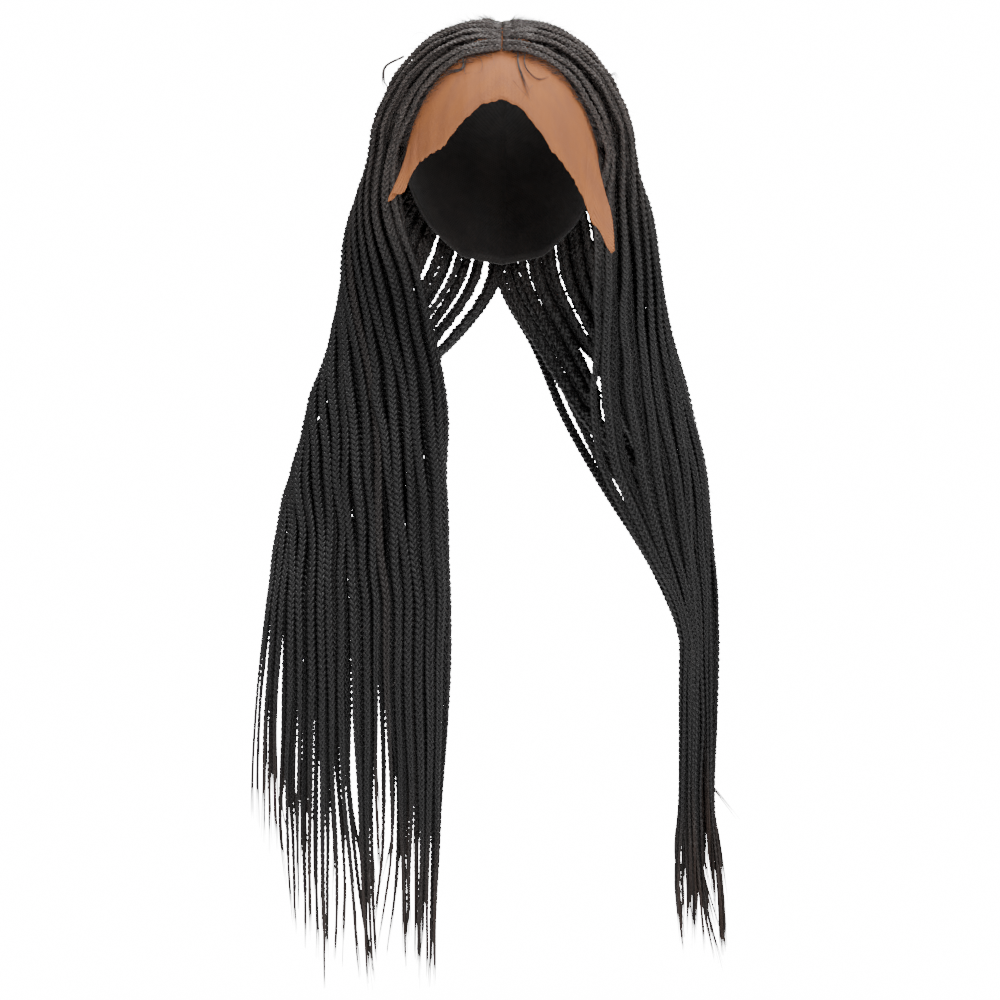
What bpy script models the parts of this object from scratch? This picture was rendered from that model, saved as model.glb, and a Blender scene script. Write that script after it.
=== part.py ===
"""Braid wig with a lace front: a net cap, a sheer lace front and two layers of long braids on each side.

The wig keeps the form it has when worn. The origin is the inside top of the cap, +Z is up, -Y is the
front and +X is the viewer's right. Sizes are in metres; the tables are in millimetres and degrees.
"""

import math
from typing import NamedTuple

import bmesh
import bpy
import numpy as np
from mathutils import Vector

MM = 0.001

# The inside of the cap follows a head: an ellipsoid, deeper below its widest ring than above it
HEAD_CENTRE = (0.0, 3.0, -95.0)
HEAD_HALF_WIDTH = 76.0
HEAD_HALF_DEPTH = 93.0
HEAD_ABOVE = 95.0
HEAD_BELOW = 140.0

CAP_WALL = 1.5
LACE_WALL = 1.0
CAP_RINGS = 8
CAP_BACK_COLUMNS = 10
SEAM_COLUMNS = 16
LACE_ROWS = 9
SEAM_GAP_DEG = 0.8

# Where braids begin: the part runs back over the head, and each braid leaves it along a great circle
PART_FRONT_DEG = 45.0
PART_BACK_DEG = 132.0
PART_GAP_DEG = 1.0
FULLER_FROM_FACE = 0.3
RING_FRONT_DEG = 72.0
RING_BACK_DEG = 177.0

# Locks: the valley's depth and the widths as shares of the full size, and the level where all hang free
VALLEY = 0.52
SPLIT_WIDTH = 0.93
TIP_WIDTH = 0.22
TIP_ROWS = 4
FREE_BELOW = -520.0
UNDER_SPLIT = -470.0
SLOPE_STEP = 0.02
SHARP_DEG = 60.0


class Edge(NamedTuple):
    """One point of an edge that goes round the head."""

    azimuth: float
    polar: float
    flare: float


class Seat(NamedTuple):
    """How a layer of braids lies on the head, at a share of the way from the part to the widest ring.

    Its middle is lifted off the head by the value middle, and by fuller as well away from the face.
    """

    share: float
    middle: float
    fuller: float
    thick: float


class Section(NamedTuple):
    """A level cut through a hanging layer: its face edge, middle and back edge in plan."""

    z: float
    face_x: float
    face_y: float
    mid_x: float
    mid_y: float
    back_x: float
    back_y: float
    thick: float


class Lock(NamedTuple):
    """A lock of braids: where it parts from the next one, and the height of its tip."""

    split: float
    tip: float


# Azimuth 0 is the front, and positive is the viewer's right. Polar angle 0 is the top of the head
CAP_FRONT_EDGE = [
    Edge(0, 9, 0), Edge(15, 18, 0), Edge(30, 34, 0), Edge(50, 60, 0), Edge(66, 82, 0), Edge(76, 92, 0),
]
CAP_BACK_EDGE = [
    Edge(76, 92, 0), Edge(105, 99, 0), Edge(125, 112, 0), Edge(150, 123, 0), Edge(180, 126, 0),
]
LACE_EDGE = [
    Edge(-76, 94, 0), Edge(-71, 98, 1), Edge(-66.5, 107, 22), Edge(-62, 102, 8), Edge(-57, 96, 0),
    Edge(-34.5, 91.5, 0), Edge(-25, 83.5, 0), Edge(-12.5, 74, 0), Edge(0, 71.5, 0), Edge(10.5, 75.5, 0),
    Edge(19, 83.5, 0), Edge(28, 92.5, 0), Edge(39, 98, 0), Edge(58, 107, 0), Edge(62, 115, 9),
    Edge(66.5, 121, 29), Edge(71, 98, 1), Edge(76, 94, 0),
]

TOP_SEATS = [
    Seat(0.0, 4.8, 0.0, 4.8), Seat(0.12, 6.0, 1.8, 6.8), Seat(0.28, 7.0, 4.5, 8.6),
    Seat(0.45, 8.9, 6.2, 9.4), Seat(0.62, 12.0, 6.6, 9.8), Seat(0.76, 14.9, 6.5, 10.4),
    Seat(0.88, 17.0, 6.2, 10.8), Seat(1.0, 18.5, 5.8, 11.2),
]
UNDER_SEATS = [
    Seat(0.48, 3.3, 0.0, 1.2), Seat(0.62, 4.6, 0.0, 2.8), Seat(0.76, 6.1, 0.0, 5.4),
    Seat(0.88, 7.0, 0.0, 7.6), Seat(1.0, 7.5, 0.0, 9.0),
]

LEFT_TOP = [
    Section(-133, -86, -12, -110, 60, -5, 122, 11.2),
    Section(-188, -70, -1, -123, 53, -9, 121, 11.2),
    Section(-240, -57, -9, -134.5, 40, -42, 112, 11.2),
    Section(-290, -50, -27, -147, 20, -104, 88, 11.2),
    Section(-340, -45, -52, -139, -12, -161, 38, 11.2),
    Section(-395, -42, -66, -121, -42, -174, -8, 11.0),
    Section(-450, -40, -75, -114, -66, -182, -45, 11.0),
    Section(-520, -42, -79, -114, -81, -187, -68, 10.5),
    Section(-600, -46, -80, -116, -84, -190, -75, 10.0),
    Section(-745, -52, -80, -118, -84, -190, -77, 9.0),
]
LEFT_UNDER = [
    Section(-133, -73, -6, -90, 54, -6, 106, 9.6),
    Section(-188, -62, 9, -103, 48, -9, 107, 9.6),
    Section(-240, -52, 4, -117, 37, -44, 100, 9.6),
    Section(-290, -46, -14, -131, 20, -98, 76, 9.6),
    Section(-340, -46, -40, -128, -3, -146, 34, 9.6),
    Section(-395, -45, -54, -117, -31, -165, -2, 9.6),
    Section(-450, -44, -63, -112, -54, -176, -34, 9.4),
    Section(-520, -46, -67, -112, -69, -180, -56, 9.0),
    Section(-600, -50, -68, -114, -72, -183, -63, 9.0),
    Section(-745, -55, -69, -116, -73, -184, -66, 8.0),
]
RIGHT_TOP = [
    Section(-133, 80, -14, 110.5, 60, 5, 122, 11.2),
    Section(-188, 76, 12, 119.5, 66, 10, 122, 11.2),
    Section(-240, 70, 28, 132.5, 73, 36, 122, 11.2),
    Section(-290, 68, 42, 147.5, 80, 58, 124, 11.2),
    Section(-340, 76, 55, 161, 88, 82, 125, 11.2),
    Section(-395, 100, 64, 166.5, 92, 110, 124, 11.0),
    Section(-450, 126, 68, 170, 95, 131, 122, 11.0),
    Section(-520, 142, 70, 170, 95, 142, 120, 10.5),
    Section(-600, 142, 72, 165, 95, 142, 118, 10.0),
    Section(-755, 144, 74, 172, 95, 145, 116, 9.0),
]
RIGHT_UNDER = [
    Section(-133, 70, -4, 91, 55, 6, 106, 9.6),
    Section(-188, 68, 24, 102, 63, 10, 108, 9.6),
    Section(-240, 70, 42, 117, 73, 38, 108, 9.6),
    Section(-290, 76, 56, 130, 81, 66, 108, 9.6),
    Section(-340, 100, 73, 141, 89, 102, 109, 7.8),
    Section(-395, 129, 83, 149, 94, 132, 107, 7.4),
    Section(-450, 147, 87, 154, 96, 147, 105, 7.8),
    Section(-520, 152, 86, 155, 95, 152, 104, 8.4),
    Section(-600, 148, 86, 151, 95, 148, 104, 8.4),
    Section(-755, 151, 88, 155, 95, 151, 102, 7.5),
]

# From the face edge outward, or to the back edge
LEFT_TOP_LOCKS = [
    Lock(-412, -740), Lock(-486, -734), Lock(-500, -720), Lock(-486, -727), Lock(-467, -743),
    Lock(-492, -724), Lock(-470, -730), Lock(-510, -743), Lock(-508, -708), Lock(-466, -676),
    Lock(-462, -640), Lock(-462, -606),
]
LEFT_UNDER_LOCKS = [
    Lock(UNDER_SPLIT, tip)
    for tip in (-722, -742, -712, -735, -715, -738, -716, -706, -690, -655, -628, -600)
]
RIGHT_TOP_LOCKS = [
    Lock(-500, -702), Lock(-505, -716), Lock(-512, -700), Lock(-515, -712), Lock(-512, -748),
    Lock(-515, -735), Lock(-510, -728), Lock(-515, -742), Lock(-508, -716), Lock(-512, -724),
    Lock(-505, -705), Lock(-500, -718),
]
RIGHT_UNDER_LOCKS = [
    Lock(UNDER_SPLIT, tip)
    for tip in (-690, -705, -720, -700, -715, -725, -710, -720, -700, -712, -695, -705)
]

BRAID_BLACK = (0.016, 0.013, 0.013, 1.0)
NET_BLACK = (0.02, 0.017, 0.016, 1.0)
LACE_TAN = (0.62, 0.42, 0.31, 1.0)


def clear_scene():
    """Removes every object of the open file."""
    for thing in list(bpy.data.objects):
        bpy.data.objects.remove(thing, do_unlink=True)


def direction(azimuth, polar):
    """The unit direction at an azimuth from the front and a polar angle from the top, in degrees."""
    turn, fall = math.radians(azimuth), math.radians(polar)
    return np.array([math.sin(fall) * math.sin(turn), -math.sin(fall) * math.cos(turn), math.cos(fall)])


def on_head(way, lift):
    """The point of the head in a direction, lifted off the head by some millimetres."""
    height = HEAD_ABOVE if way[2] > 0 else HEAD_BELOW
    half = np.array([HEAD_HALF_WIDTH, HEAD_HALF_DEPTH, height])
    normal = way / half
    return np.array(HEAD_CENTRE) + half * way + normal / np.linalg.norm(normal) * lift


def along_edge(rows, azimuth):
    """The polar angle and flare of an edge at an azimuth."""
    at = [row.azimuth for row in rows]
    polar = np.interp(azimuth, at, [row.polar for row in rows])
    return float(polar), float(np.interp(azimuth, at, [row.flare for row in rows]))


def cap_edge(azimuth):
    """The polar angle at which the cap ends: the lace seam in front, and the hem behind the ears."""
    turn = abs(azimuth)
    rows = CAP_FRONT_EDGE if turn <= CAP_FRONT_EDGE[-1].azimuth else CAP_BACK_EDGE
    return along_edge(rows, turn)[0]


def seam_azimuths():
    """The azimuths that the cap and the lace share along their seam."""
    last = CAP_FRONT_EDGE[-1].azimuth
    return [last * step / SEAM_COLUMNS for step in range(-SEAM_COLUMNS, SEAM_COLUMNS + 1)]


def make_material(name, colour, roughness):
    """A plain material with a colour and a roughness."""
    made = bpy.data.materials.new(name)
    made.use_nodes = True
    shader = made.node_tree.nodes["Principled BSDF"]
    shader.inputs["Base Color"].default_value = colour
    shader.inputs["Roughness"].default_value = roughness
    shader.inputs["Metallic"].default_value = 0.0
    return made


def add_solid(name, points, faces, material):
    """Adds a closed solid, from points in millimetres and faces that may turn either way."""
    body = bmesh.new()
    corners = [body.verts.new(Vector(point) * MM) for point in points]
    for face in faces:
        body.faces.new([corners[index] for index in face])
    bmesh.ops.recalc_face_normals(body, faces=body.faces)
    mesh = bpy.data.meshes.new(name)
    body.to_mesh(mesh)
    body.free()
    mesh.materials.append(material)
    mesh.shade_smooth()
    mesh.set_sharp_from_angle(angle=math.radians(SHARP_DEG))
    solid = bpy.data.objects.new(name, mesh)
    bpy.context.scene.collection.objects.link(solid)
    return solid


def build_cap(material):
    """The net cap: a wall with a pole at the crown, open below and ending in front at the lace."""
    last = CAP_BACK_EDGE[0].azimuth
    steps = range(1, CAP_BACK_COLUMNS + 1)
    behind = [last + (180 - last) * step / CAP_BACK_COLUMNS for step in steps]
    turns = seam_azimuths() + behind + [-turn for turn in reversed(behind[:-1])]
    points = [on_head(np.array([0, 0, 1.0]), lift) for lift in (0.0, CAP_WALL)]
    faces, count = [], len(turns)

    def at(column, ring, side):
        return 2 + ((column % count) * CAP_RINGS + ring) * 2 + side

    for turn in turns:
        for ring in range(CAP_RINGS):
            way = direction(turn, cap_edge(turn) * (ring + 1) / CAP_RINGS)
            points += [on_head(way, 0.0), on_head(way, CAP_WALL)]
    for column in range(count):
        for side in (0, 1):
            faces.append((side, at(column, 0, side), at(column + 1, 0, side)))
            for ring in range(CAP_RINGS - 1):
                faces.append((at(column, ring, side), at(column, ring + 1, side),
                              at(column + 1, ring + 1, side), at(column + 1, ring, side)))
        hem = CAP_RINGS - 1
        faces.append((at(column, hem, 0), at(column, hem, 1), at(column + 1, hem, 1), at(column + 1, hem, 0)))
    return add_solid("cap", points, faces, material)


def build_lace(material):
    """The lace front: a wall from the cap's front seam to its edge on the forehead, with two ear tabs."""
    turns = seam_azimuths()
    points, faces = [], []

    def at(column, row, side):
        return (column * LACE_ROWS + row) * 2 + side

    for turn in turns:
        start = cap_edge(turn) + SEAM_GAP_DEG
        end, flare = along_edge(LACE_EDGE, turn)
        for row in range(LACE_ROWS):
            share = row / (LACE_ROWS - 1)
            way = direction(turn, start + (end - start) * share)
            lift = flare * share ** 2
            points += [on_head(way, lift), on_head(way, lift + LACE_WALL)]
    for column in range(len(turns) - 1):
        for row in range(LACE_ROWS - 1):
            for side in (0, 1):
                faces.append((at(column, row, side), at(column, row + 1, side),
                              at(column + 1, row + 1, side), at(column + 1, row, side)))
    border = [(column, 0) for column in range(len(turns))]
    border += [(len(turns) - 1, row) for row in range(1, LACE_ROWS)]
    border += [(column, LACE_ROWS - 1) for column in range(len(turns) - 2, -1, -1)]
    border += [(0, row) for row in range(LACE_ROWS - 2, 0, -1)]
    for here, there in zip(border, border[1:] + border[:1]):
        faces.append((at(*here, 0), at(*there, 0), at(*there, 1), at(*here, 1)))
    return add_solid("lace_front", points, faces, material)


class Curtain:
    """A layer of braids: a surface from the part, over the head and down, cut into locks below."""

    def __init__(self, name, side, seats, sections, locks):
        self.name, self.side, self.seats, self.sections, self.locks = name, side, seats, sections, locks
        self.stations = len(seats) + len(sections)

    def on_arc(self, across, seat):
        """The point over the head on the great circle that one braid follows."""
        root = math.radians(PART_FRONT_DEG + (PART_BACK_DEG - PART_FRONT_DEG) * across)
        beside = math.radians(PART_GAP_DEG)
        start = np.array([self.side * math.sin(beside), -math.cos(root) * math.cos(beside),
                          math.sin(root) * math.cos(beside)])
        ring = RING_FRONT_DEG + (RING_BACK_DEG - RING_FRONT_DEG) * across
        end = direction(ring * self.side, 90)
        whole = math.acos(float(np.dot(start, end)))
        way = start * math.sin(whole * (1 - seat.share)) + end * math.sin(whole * seat.share)
        away = min(across / FULLER_FROM_FACE, 1.0)
        lift = seat.middle + seat.fuller * away * away * (3 - 2 * away)
        return on_head(way / math.sin(whole), lift)

    def station(self, across, index):
        """The middle of the layer at one seat or section, across from the face edge (0) to the back (1)."""
        if index < len(self.seats):
            return self.on_arc(across, self.seats[index])
        cut = self.sections[index - len(self.seats)]
        face = (1 - across) * (1 - 2 * across)
        middle = 4 * across * (1 - across)
        back = across * (2 * across - 1)
        x = face * cut.face_x + middle * cut.mid_x + back * cut.back_x
        y = face * cut.face_y + middle * cut.mid_y + back * cut.back_y
        return np.array([x, y, cut.z])

    def place(self, across, down):
        """A point of the layer's middle surface: a smooth curve through the stations."""
        first = min(int(down), self.stations - 2)
        share = down - first
        near = [self.station(across, min(max(first + k, 0), self.stations - 1)) for k in (-1, 0, 1, 2)]
        reach = [max(np.linalg.norm(near[k + 1] - near[k]), 1e-6) for k in range(3)]
        slopes = []
        for k in (1, 2):
            before = (near[k] - near[k - 1]) / reach[k - 1]
            after = (near[k + 1] - near[k]) / reach[k]
            slope = (before * reach[k] + after * reach[k - 1]) / (reach[k] + reach[k - 1])
            slopes.append(slope * reach[1])
        if first == 0:
            slopes[0] = near[2] - near[1]
        if first == self.stations - 2:
            slopes[1] = near[2] - near[1]
        s2, s3 = share ** 2, share ** 3
        return ((2 * s3 - 3 * s2 + 1) * near[1] + (s3 - 2 * s2 + share) * slopes[0]
                + (3 * s2 - 2 * s3) * near[2] + (s3 - s2) * slopes[1])

    def normal(self, across, down):
        """The outward direction of the middle surface: the head's own down to its widest ring."""
        if down <= len(self.seats) - 1:
            half = np.array([HEAD_HALF_WIDTH, HEAD_HALF_DEPTH, HEAD_ABOVE])
            out = (self.place(across, down) - np.array(HEAD_CENTRE)) / half ** 2
            return out / np.linalg.norm(out)
        low, high = max(across - SLOPE_STEP, 0.0), min(across + SLOPE_STEP, 1.0)
        over = self.place(high, down) - self.place(low, down)
        top, bottom = down - SLOPE_STEP, min(down + SLOPE_STEP, self.stations - 1.0)
        fall = self.place(across, bottom) - self.place(across, top)
        turned = np.cross(over, fall) * -self.side
        return turned / np.linalg.norm(turned)

    def thick(self, down):
        """The layer's thickness at a station."""
        sizes = [seat.thick for seat in self.seats] + [cut.thick for cut in self.sections]
        return float(np.interp(down, range(self.stations), sizes))

    def level(self, z):
        """The station value at which the hanging part of the surface is at a height."""
        drops = [-cut.z for cut in self.sections]
        return len(self.seats) + float(np.interp(-z, drops, range(len(drops))))

    def edge_points(self, across, edge, down, width, taper):
        """The front and back points of a lock's side, at a share of its full width and thickness."""
        centre = self.place(across, down)
        side = centre + (self.place(edge, down) - centre) * width
        depth = self.normal(edge, down) * self.thick(down) * VALLEY / 2 * taper
        return [side + depth, side - depth]

    def crest_points(self, across, down, taper):
        """The front and back points along a lock's middle."""
        depth = self.normal(across, down) * self.thick(down) / 2 * taper
        centre = self.place(across, down)
        return [centre + depth, centre - depth]

    def build(self, material):
        """Makes the solid: locks share their valleys down to where they part, and then taper to a tip."""
        points, faces, shared = [], [], {}
        count = len(self.locks)
        rows = list(range(len(self.seats) + sum(cut.z >= FREE_BELOW for cut in self.sections)))
        splits = [round(self.level(lock.split)) for lock in self.locks]

        def add(pair):
            points.extend(pair)
            return len(points) - 2, len(points) - 1

        for index, lock in enumerate(self.locks):
            across = (index + 0.5) / count
            tip = self.level(lock.tip)
            tail = [rows[-1] + (tip - rows[-1]) * (step + 1) / TIP_ROWS for step in range(TIP_ROWS)]
            path = []
            for number, down in enumerate(rows + tail):
                beyond = max(0.0, (number - len(rows) + 1) / TIP_ROWS)
                taper = 1.0 + (TIP_WIDTH - 1.0) * beyond ** 2
                sides = []
                for edge in (index, index + 1):
                    inside = 0 < edge < count
                    if inside and number <= splits[edge - 1]:
                        if (edge, number) not in shared:
                            shared[edge, number] = add(self.edge_points(across, edge / count, down, 1.0, 1.0))
                        sides.append(shared[edge, number])
                    else:
                        width = taper * (SPLIT_WIDTH if inside else 1.0)
                        sides.append(add(self.edge_points(across, edge / count, down, width, taper)))
                path.append((sides[0], add(self.crest_points(across, down, taper)), sides[1]))
            self.skin(path, faces, index, splits)
        return add_solid(self.name, points, faces, material)

    def skin(self, path, faces, index, splits):
        """Adds the faces of one lock: front, back, its free sides and its two ends."""
        for number in range(len(path) - 1):
            here, below = path[number], path[number + 1]
            for k in (0, 1):
                for face in (0, 1):
                    faces.append((here[k][face], here[k + 1][face], below[k + 1][face], below[k][face]))
            for k, edge in ((0, index), (2, index + 1)):
                if edge in (0, len(splits)) or number >= splits[edge - 1]:
                    faces.append((here[k][0], below[k][0], below[k][1], here[k][1]))
        for end in (path[0], path[-1]):
            faces.append((end[0][0], end[1][0], end[2][0], end[2][1], end[1][1], end[0][1]))


def main():
    """Builds the wig."""
    clear_scene()
    hair = make_material("braid_hair", BRAID_BLACK, 0.55)
    net = make_material("cap_net", NET_BLACK, 0.8)
    lace = make_material("lace", LACE_TAN, 0.7)
    build_cap(net)
    build_lace(lace)
    for curtain in (
        Curtain("left_top_braids", -1, TOP_SEATS, LEFT_TOP, LEFT_TOP_LOCKS),
        Curtain("left_under_braids", -1, UNDER_SEATS, LEFT_UNDER, LEFT_UNDER_LOCKS),
        Curtain("right_top_braids", 1, TOP_SEATS, RIGHT_TOP, RIGHT_TOP_LOCKS),
        Curtain("right_under_braids", 1, UNDER_SEATS, RIGHT_UNDER, RIGHT_UNDER_LOCKS),
    ):
        curtain.build(hair)


main()
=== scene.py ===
"""Looks of the braid wig: plaited braids in four layers, a net cap, a lace front and loose fine hair."""

import logging
import math
from dataclasses import dataclass, field
from enum import Enum
from typing import Dict, List, NamedTuple, Sequence, Tuple

import bpy
import numpy as np
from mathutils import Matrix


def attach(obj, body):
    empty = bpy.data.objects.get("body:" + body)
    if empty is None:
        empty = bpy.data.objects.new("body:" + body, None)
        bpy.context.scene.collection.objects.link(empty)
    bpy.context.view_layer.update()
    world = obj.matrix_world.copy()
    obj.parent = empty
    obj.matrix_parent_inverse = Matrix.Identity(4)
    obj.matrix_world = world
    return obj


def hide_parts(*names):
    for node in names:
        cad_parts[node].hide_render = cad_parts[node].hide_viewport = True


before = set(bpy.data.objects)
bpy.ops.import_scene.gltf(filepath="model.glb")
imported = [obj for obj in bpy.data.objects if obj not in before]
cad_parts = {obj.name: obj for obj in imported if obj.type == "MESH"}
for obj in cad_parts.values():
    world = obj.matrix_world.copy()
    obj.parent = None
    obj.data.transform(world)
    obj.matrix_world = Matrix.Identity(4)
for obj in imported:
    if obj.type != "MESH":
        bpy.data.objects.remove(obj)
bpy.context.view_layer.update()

LOG = logging.getLogger("wig")
BODY = "root"
MM = 0.001
Array = np.ndarray
Colour = Tuple[float, float, float, float]
Sockets = Sequence[Tuple[str, str]]


class Side(Enum):
    """Which half of the head a layer hangs on, as the viewer sees it."""

    LEFT = -1
    RIGHT = 1


class Ramp(NamedTuple):
    """Where a change sets in and where it is whole, in the units of its use."""

    low: float
    high: float

    def up(self, value: Array) -> Array:
        """Returns the smooth rise from 0 before the ramp to 1 beyond it."""
        return smooth(value, self.low, self.high)

    def down(self, value: Array) -> Array:
        """Returns the smooth fall from 1 before the ramp to 0 beyond it."""
        return 1 - smooth(value, self.low, self.high)


class Seat(NamedTuple):
    """A layer on the head: share of the way to the ring, and the height of its middle above the head.

    Away from the face it stands out by fuller as well, and at the face edge it hugs the head closer.
    """

    share: float
    middle: float
    fuller: float = 0.0
    hug: float = 0.0


class Section(NamedTuple):
    """A level cut of a hanging layer: its height, and its face edge, middle and back edge from above."""

    z: float
    face_x: float
    face_y: float
    mid_x: float
    mid_y: float
    back_x: float
    back_y: float


class Course(NamedTuple):
    """Where a braid hangs in the photograph's pixels, at three rows and at its tip, and how it bows."""

    high: float
    mid: float
    low: float
    tip: float
    tip_row: float
    bow: float
    width: float


class Slit(NamedTuple):
    """A narrow opening between braids, from one pixel to another, and its width in pixels."""

    x0: float
    y0: float
    x1: float
    y1: float
    width: float


class Strand(NamedTuple):
    """A tuft of loose hairs: its way in pixels, its lift off the head or its depth, and its hairs' radius."""

    pixels: Tuple[Tuple[float, float], ...]
    lift: float
    radius: float
    hairs: int


TOP_SEATS = (
    Seat(0.0, 4.8), Seat(0.12, 6.0, 1.8), Seat(0.28, 7.0, 4.5, 1.0), Seat(0.45, 8.9, 6.2, 3.5),
    Seat(0.62, 12.0, 6.6, 6.0), Seat(0.76, 14.9, 6.5, 8.5), Seat(0.88, 17.0, 8.0, 9.5),
    Seat(1.0, 18.5, 9.0, 9.0),
)
UNDER_SEATS = (
    Seat(0.2, 2.6, 0.5), Seat(0.34, 3.0, 1.5), Seat(0.48, 3.3, 3.0), Seat(0.62, 4.6, 4.0),
    Seat(0.76, 6.1, 4.5), Seat(0.88, 7.0, 4.5), Seat(1.0, 7.5, 4.5),
)

LEFT_TOP = (
    Section(-133, -86, -12, -107.5, 60, -5, 122), Section(-188, -70, -1, -123, 53, -9, 121),
    Section(-240, -57, -9, -134.5, 40, -42, 112), Section(-290, -50, -27, -147, 20, -104, 88),
    Section(-340, -45, -52, -139, -12, -160, 38), Section(-395, -42, -66, -121, -42, -172, -8),
    Section(-450, -40, -75, -114, -66, -179, -45), Section(-520, -42, -79, -114, -81, -187, -68),
    Section(-600, -46, -80, -116, -84, -190, -75), Section(-745, -52, -80, -118, -84, -190, -77),
)
LEFT_UNDER = (
    Section(-133, -73, -6, -90, 54, -6, 106), Section(-188, -62, 9, -103, 48, -9, 107),
    Section(-240, -52, 4, -117, 37, -44, 100), Section(-290, -46, -14, -131, 20, -98, 76),
    Section(-340, -46, -40, -128, -3, -146, 34), Section(-395, -45, -54, -117, -31, -165, -2),
    Section(-450, -44, -63, -112, -54, -176, -34), Section(-520, -46, -67, -112, -69, -180, -56),
    Section(-600, -50, -68, -114, -72, -183, -63), Section(-745, -55, -69, -116, -73, -184, -66),
)
RIGHT_TOP = (
    Section(-133, 77, -14, 108.5, 60, 5, 122), Section(-188, 76, 12, 119.5, 66, 10, 122),
    Section(-240, 70, 28, 132.5, 73, 36, 122), Section(-290, 68, 42, 147.5, 80, 58, 124),
    Section(-340, 76, 55, 161, 88, 82, 125), Section(-395, 100, 64, 166.5, 92, 110, 124),
    Section(-450, 126, 68, 170, 95, 131, 122), Section(-520, 142, 70, 170, 95, 142, 120),
    Section(-600, 142, 72, 165, 95, 142, 118), Section(-755, 144, 74, 172, 95, 145, 116),
)
RIGHT_UNDER = (
    Section(-133, 70, -4, 91, 55, 6, 106), Section(-188, 68, 24, 102, 63, 10, 108),
    Section(-240, 70, 42, 117, 73, 38, 108), Section(-290, 76, 56, 130, 81, 66, 108),
    Section(-340, 100, 73, 141, 89, 102, 109), Section(-395, 129, 83, 149, 94, 132, 107),
    Section(-450, 147, 87, 154, 96, 147, 105), Section(-520, 152, 86, 155, 95, 152, 104),
    Section(-600, 148, 86, 151, 95, 148, 104), Section(-755, 151, 88, 155, 95, 151, 102),
)

# From the face edge outward: rows 600, 700 and 780, the tip, the bow and the width in the free part
LEFT_COURSES = (
    Course(448.0, 446.0, 441.0, 434.5, 973, 0, 0.72),
    Course(438.5, 437.5, 436.0, 433.0, 992, 0, 0.9),
    Course(432.0, 431.0, 431.0, 427.0, 985, 0, 0.95),
    Course(425.0, 424.0, 425.5, 422.0, 955, 0, 0.95),
    Course(418.0, 417.0, 420.0, 418.0, 999, 0, 0.95),
    Course(411.0, 410.0, 414.0, 411.0, 930, 0, 0.95),
    Course(404.0, 403.5, 405.0, 407.5, 972, -1, 0.9),
    Course(397.5, 397.0, 400.5, 403.5, 957, 1, 0.8),
    Course(389.5, 389.0, 395.5, 380.0, 956, 7, 0.8),
    Course(383.5, 383.0, 385.5, 375.0, 937, 4, 0.78),
    Course(377.0, 376.5, 375.0, 380.0, 881, 0, 0.75),
    Course(371.0, 371.5, 370.5, 376.0, 988, -2, 0.8),
    Course(361.5, 363.0, 365.0, 368.0, 972, 1, 0.85),
    Course(354.5, 356.5, 359.5, 368.5, 990, 0, 0.85),
    Course(345.0, 346.0, 346.5, 376.0, 990, -4, 0.85),
    Course(338.5, 339.5, 340.5, 350.0, 974, 3, 0.8),
    Course(330.5, 332.5, 334.0, 335.5, 960, 4, 0.78),
    Course(324.5, 327.0, 327.5, 328.0, 961, 0, 0.78),
    Course(318.5, 321.5, 321.5, 323.0, 998, 0, 0.82),
    Course(312.0, 314.0, 312.5, 312.0, 932, 0, 0.9),
    Course(306.0, 307.0, 305.5, 306.5, 955, 0, 0.9),
    Course(299.0, 299.0, 296.5, 297.5, 906, 0, 0.82),
    Course(293.0, 292.0, 289.5, 295.0, 949, 0, 0.82),
    Course(287.0, 285.0, 283.0, 289.5, 895, -4, 0.78),
    Course(282.0, 275.5, 275.0, 277.5, 851, 0, 0.75),
    Course(277.0, 269.5, 268.5, 268.0, 856, 0, 0.78),
    Course(272.0, 263.0, 260.5, 260.0, 834, 0, 0.78),
    Course(267.5, 256.0, 253.0, 252.5, 820, 0, 0.66),
)
# Of the gathered bundle, from its left edge: rows 640, 730 and 800, and the rest as above
RIGHT_COURSES = (
    Course(683.0, 681.0, 680.0, 684.5, 940, -5, 0.85),
    Course(685.0, 683.0, 682.0, 681.5, 956, -6, 0.6),
    Course(687.5, 687.5, 685.5, 687.0, 932, 1, 0.85),
    Course(689.0, 689.5, 688.0, 688.5, 915, 1, 0.85),
    Course(691.0, 691.5, 691.0, 694.5, 947, 0, 0.9),
    Course(693.5, 693.5, 693.0, 697.5, 905, 0, 0.9),
    Course(696.0, 696.0, 695.0, 695.5, 940, 1, 0.9),
    Course(698.0, 698.0, 697.0, 724.0, 976, -8, 0.8),
    Course(701.0, 703.5, 701.0, 702.0, 900, 0, 0.85),
    Course(704.0, 705.5, 706.5, 709.5, 862, 0, 0.85),
    Course(706.5, 708.0, 708.5, 710.0, 880, 0, 0.85),
    Course(709.0, 710.0, 710.5, 721.5, 959, 1, 0.85),
    Course(711.0, 712.0, 712.0, 726.5, 950, 1, 0.8),
    Course(717.3, 715.5, 713.5, 721.0, 930, 1, 0.8),
)

SLITS = (
    Slit(338, 290, 328, 340, 1.0), Slit(389.5, 323, 381, 376, 2.4), Slit(591.5, 288, 594.5, 337, 2.6),
    Slit(601, 384, 601.5, 414, 2.2), Slit(617.5, 302, 621, 325, 1.4), Slit(628.5, 334, 633.6, 370, 1.8),
    Slit(639, 366, 647, 415, 2.0),
)

# How far the hairline stands back from the face edge of the solids, by station of the top layers
HAIRLINE = (0.0, 0.01, 0.03, 0.03, 0.015, 0.0, -0.01, -0.03, -0.03, -0.02, 0.0)
# Where the left layer's lines lie at chest height, for lines that hang at these shares below
LEFT_HUNG = (0.0, 0.3, 0.6, 0.8, 1.0)
LEFT_CHEST = (0.0, 0.17, 0.36, 0.64, 1.0)
CHEST_Z = -290.0
# The depth of the free braids in millimetres, and a tip's least drop below the last row in pixels
FREE_DEPTH = -30.0
LEAST_TIP = 30.0
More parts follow.
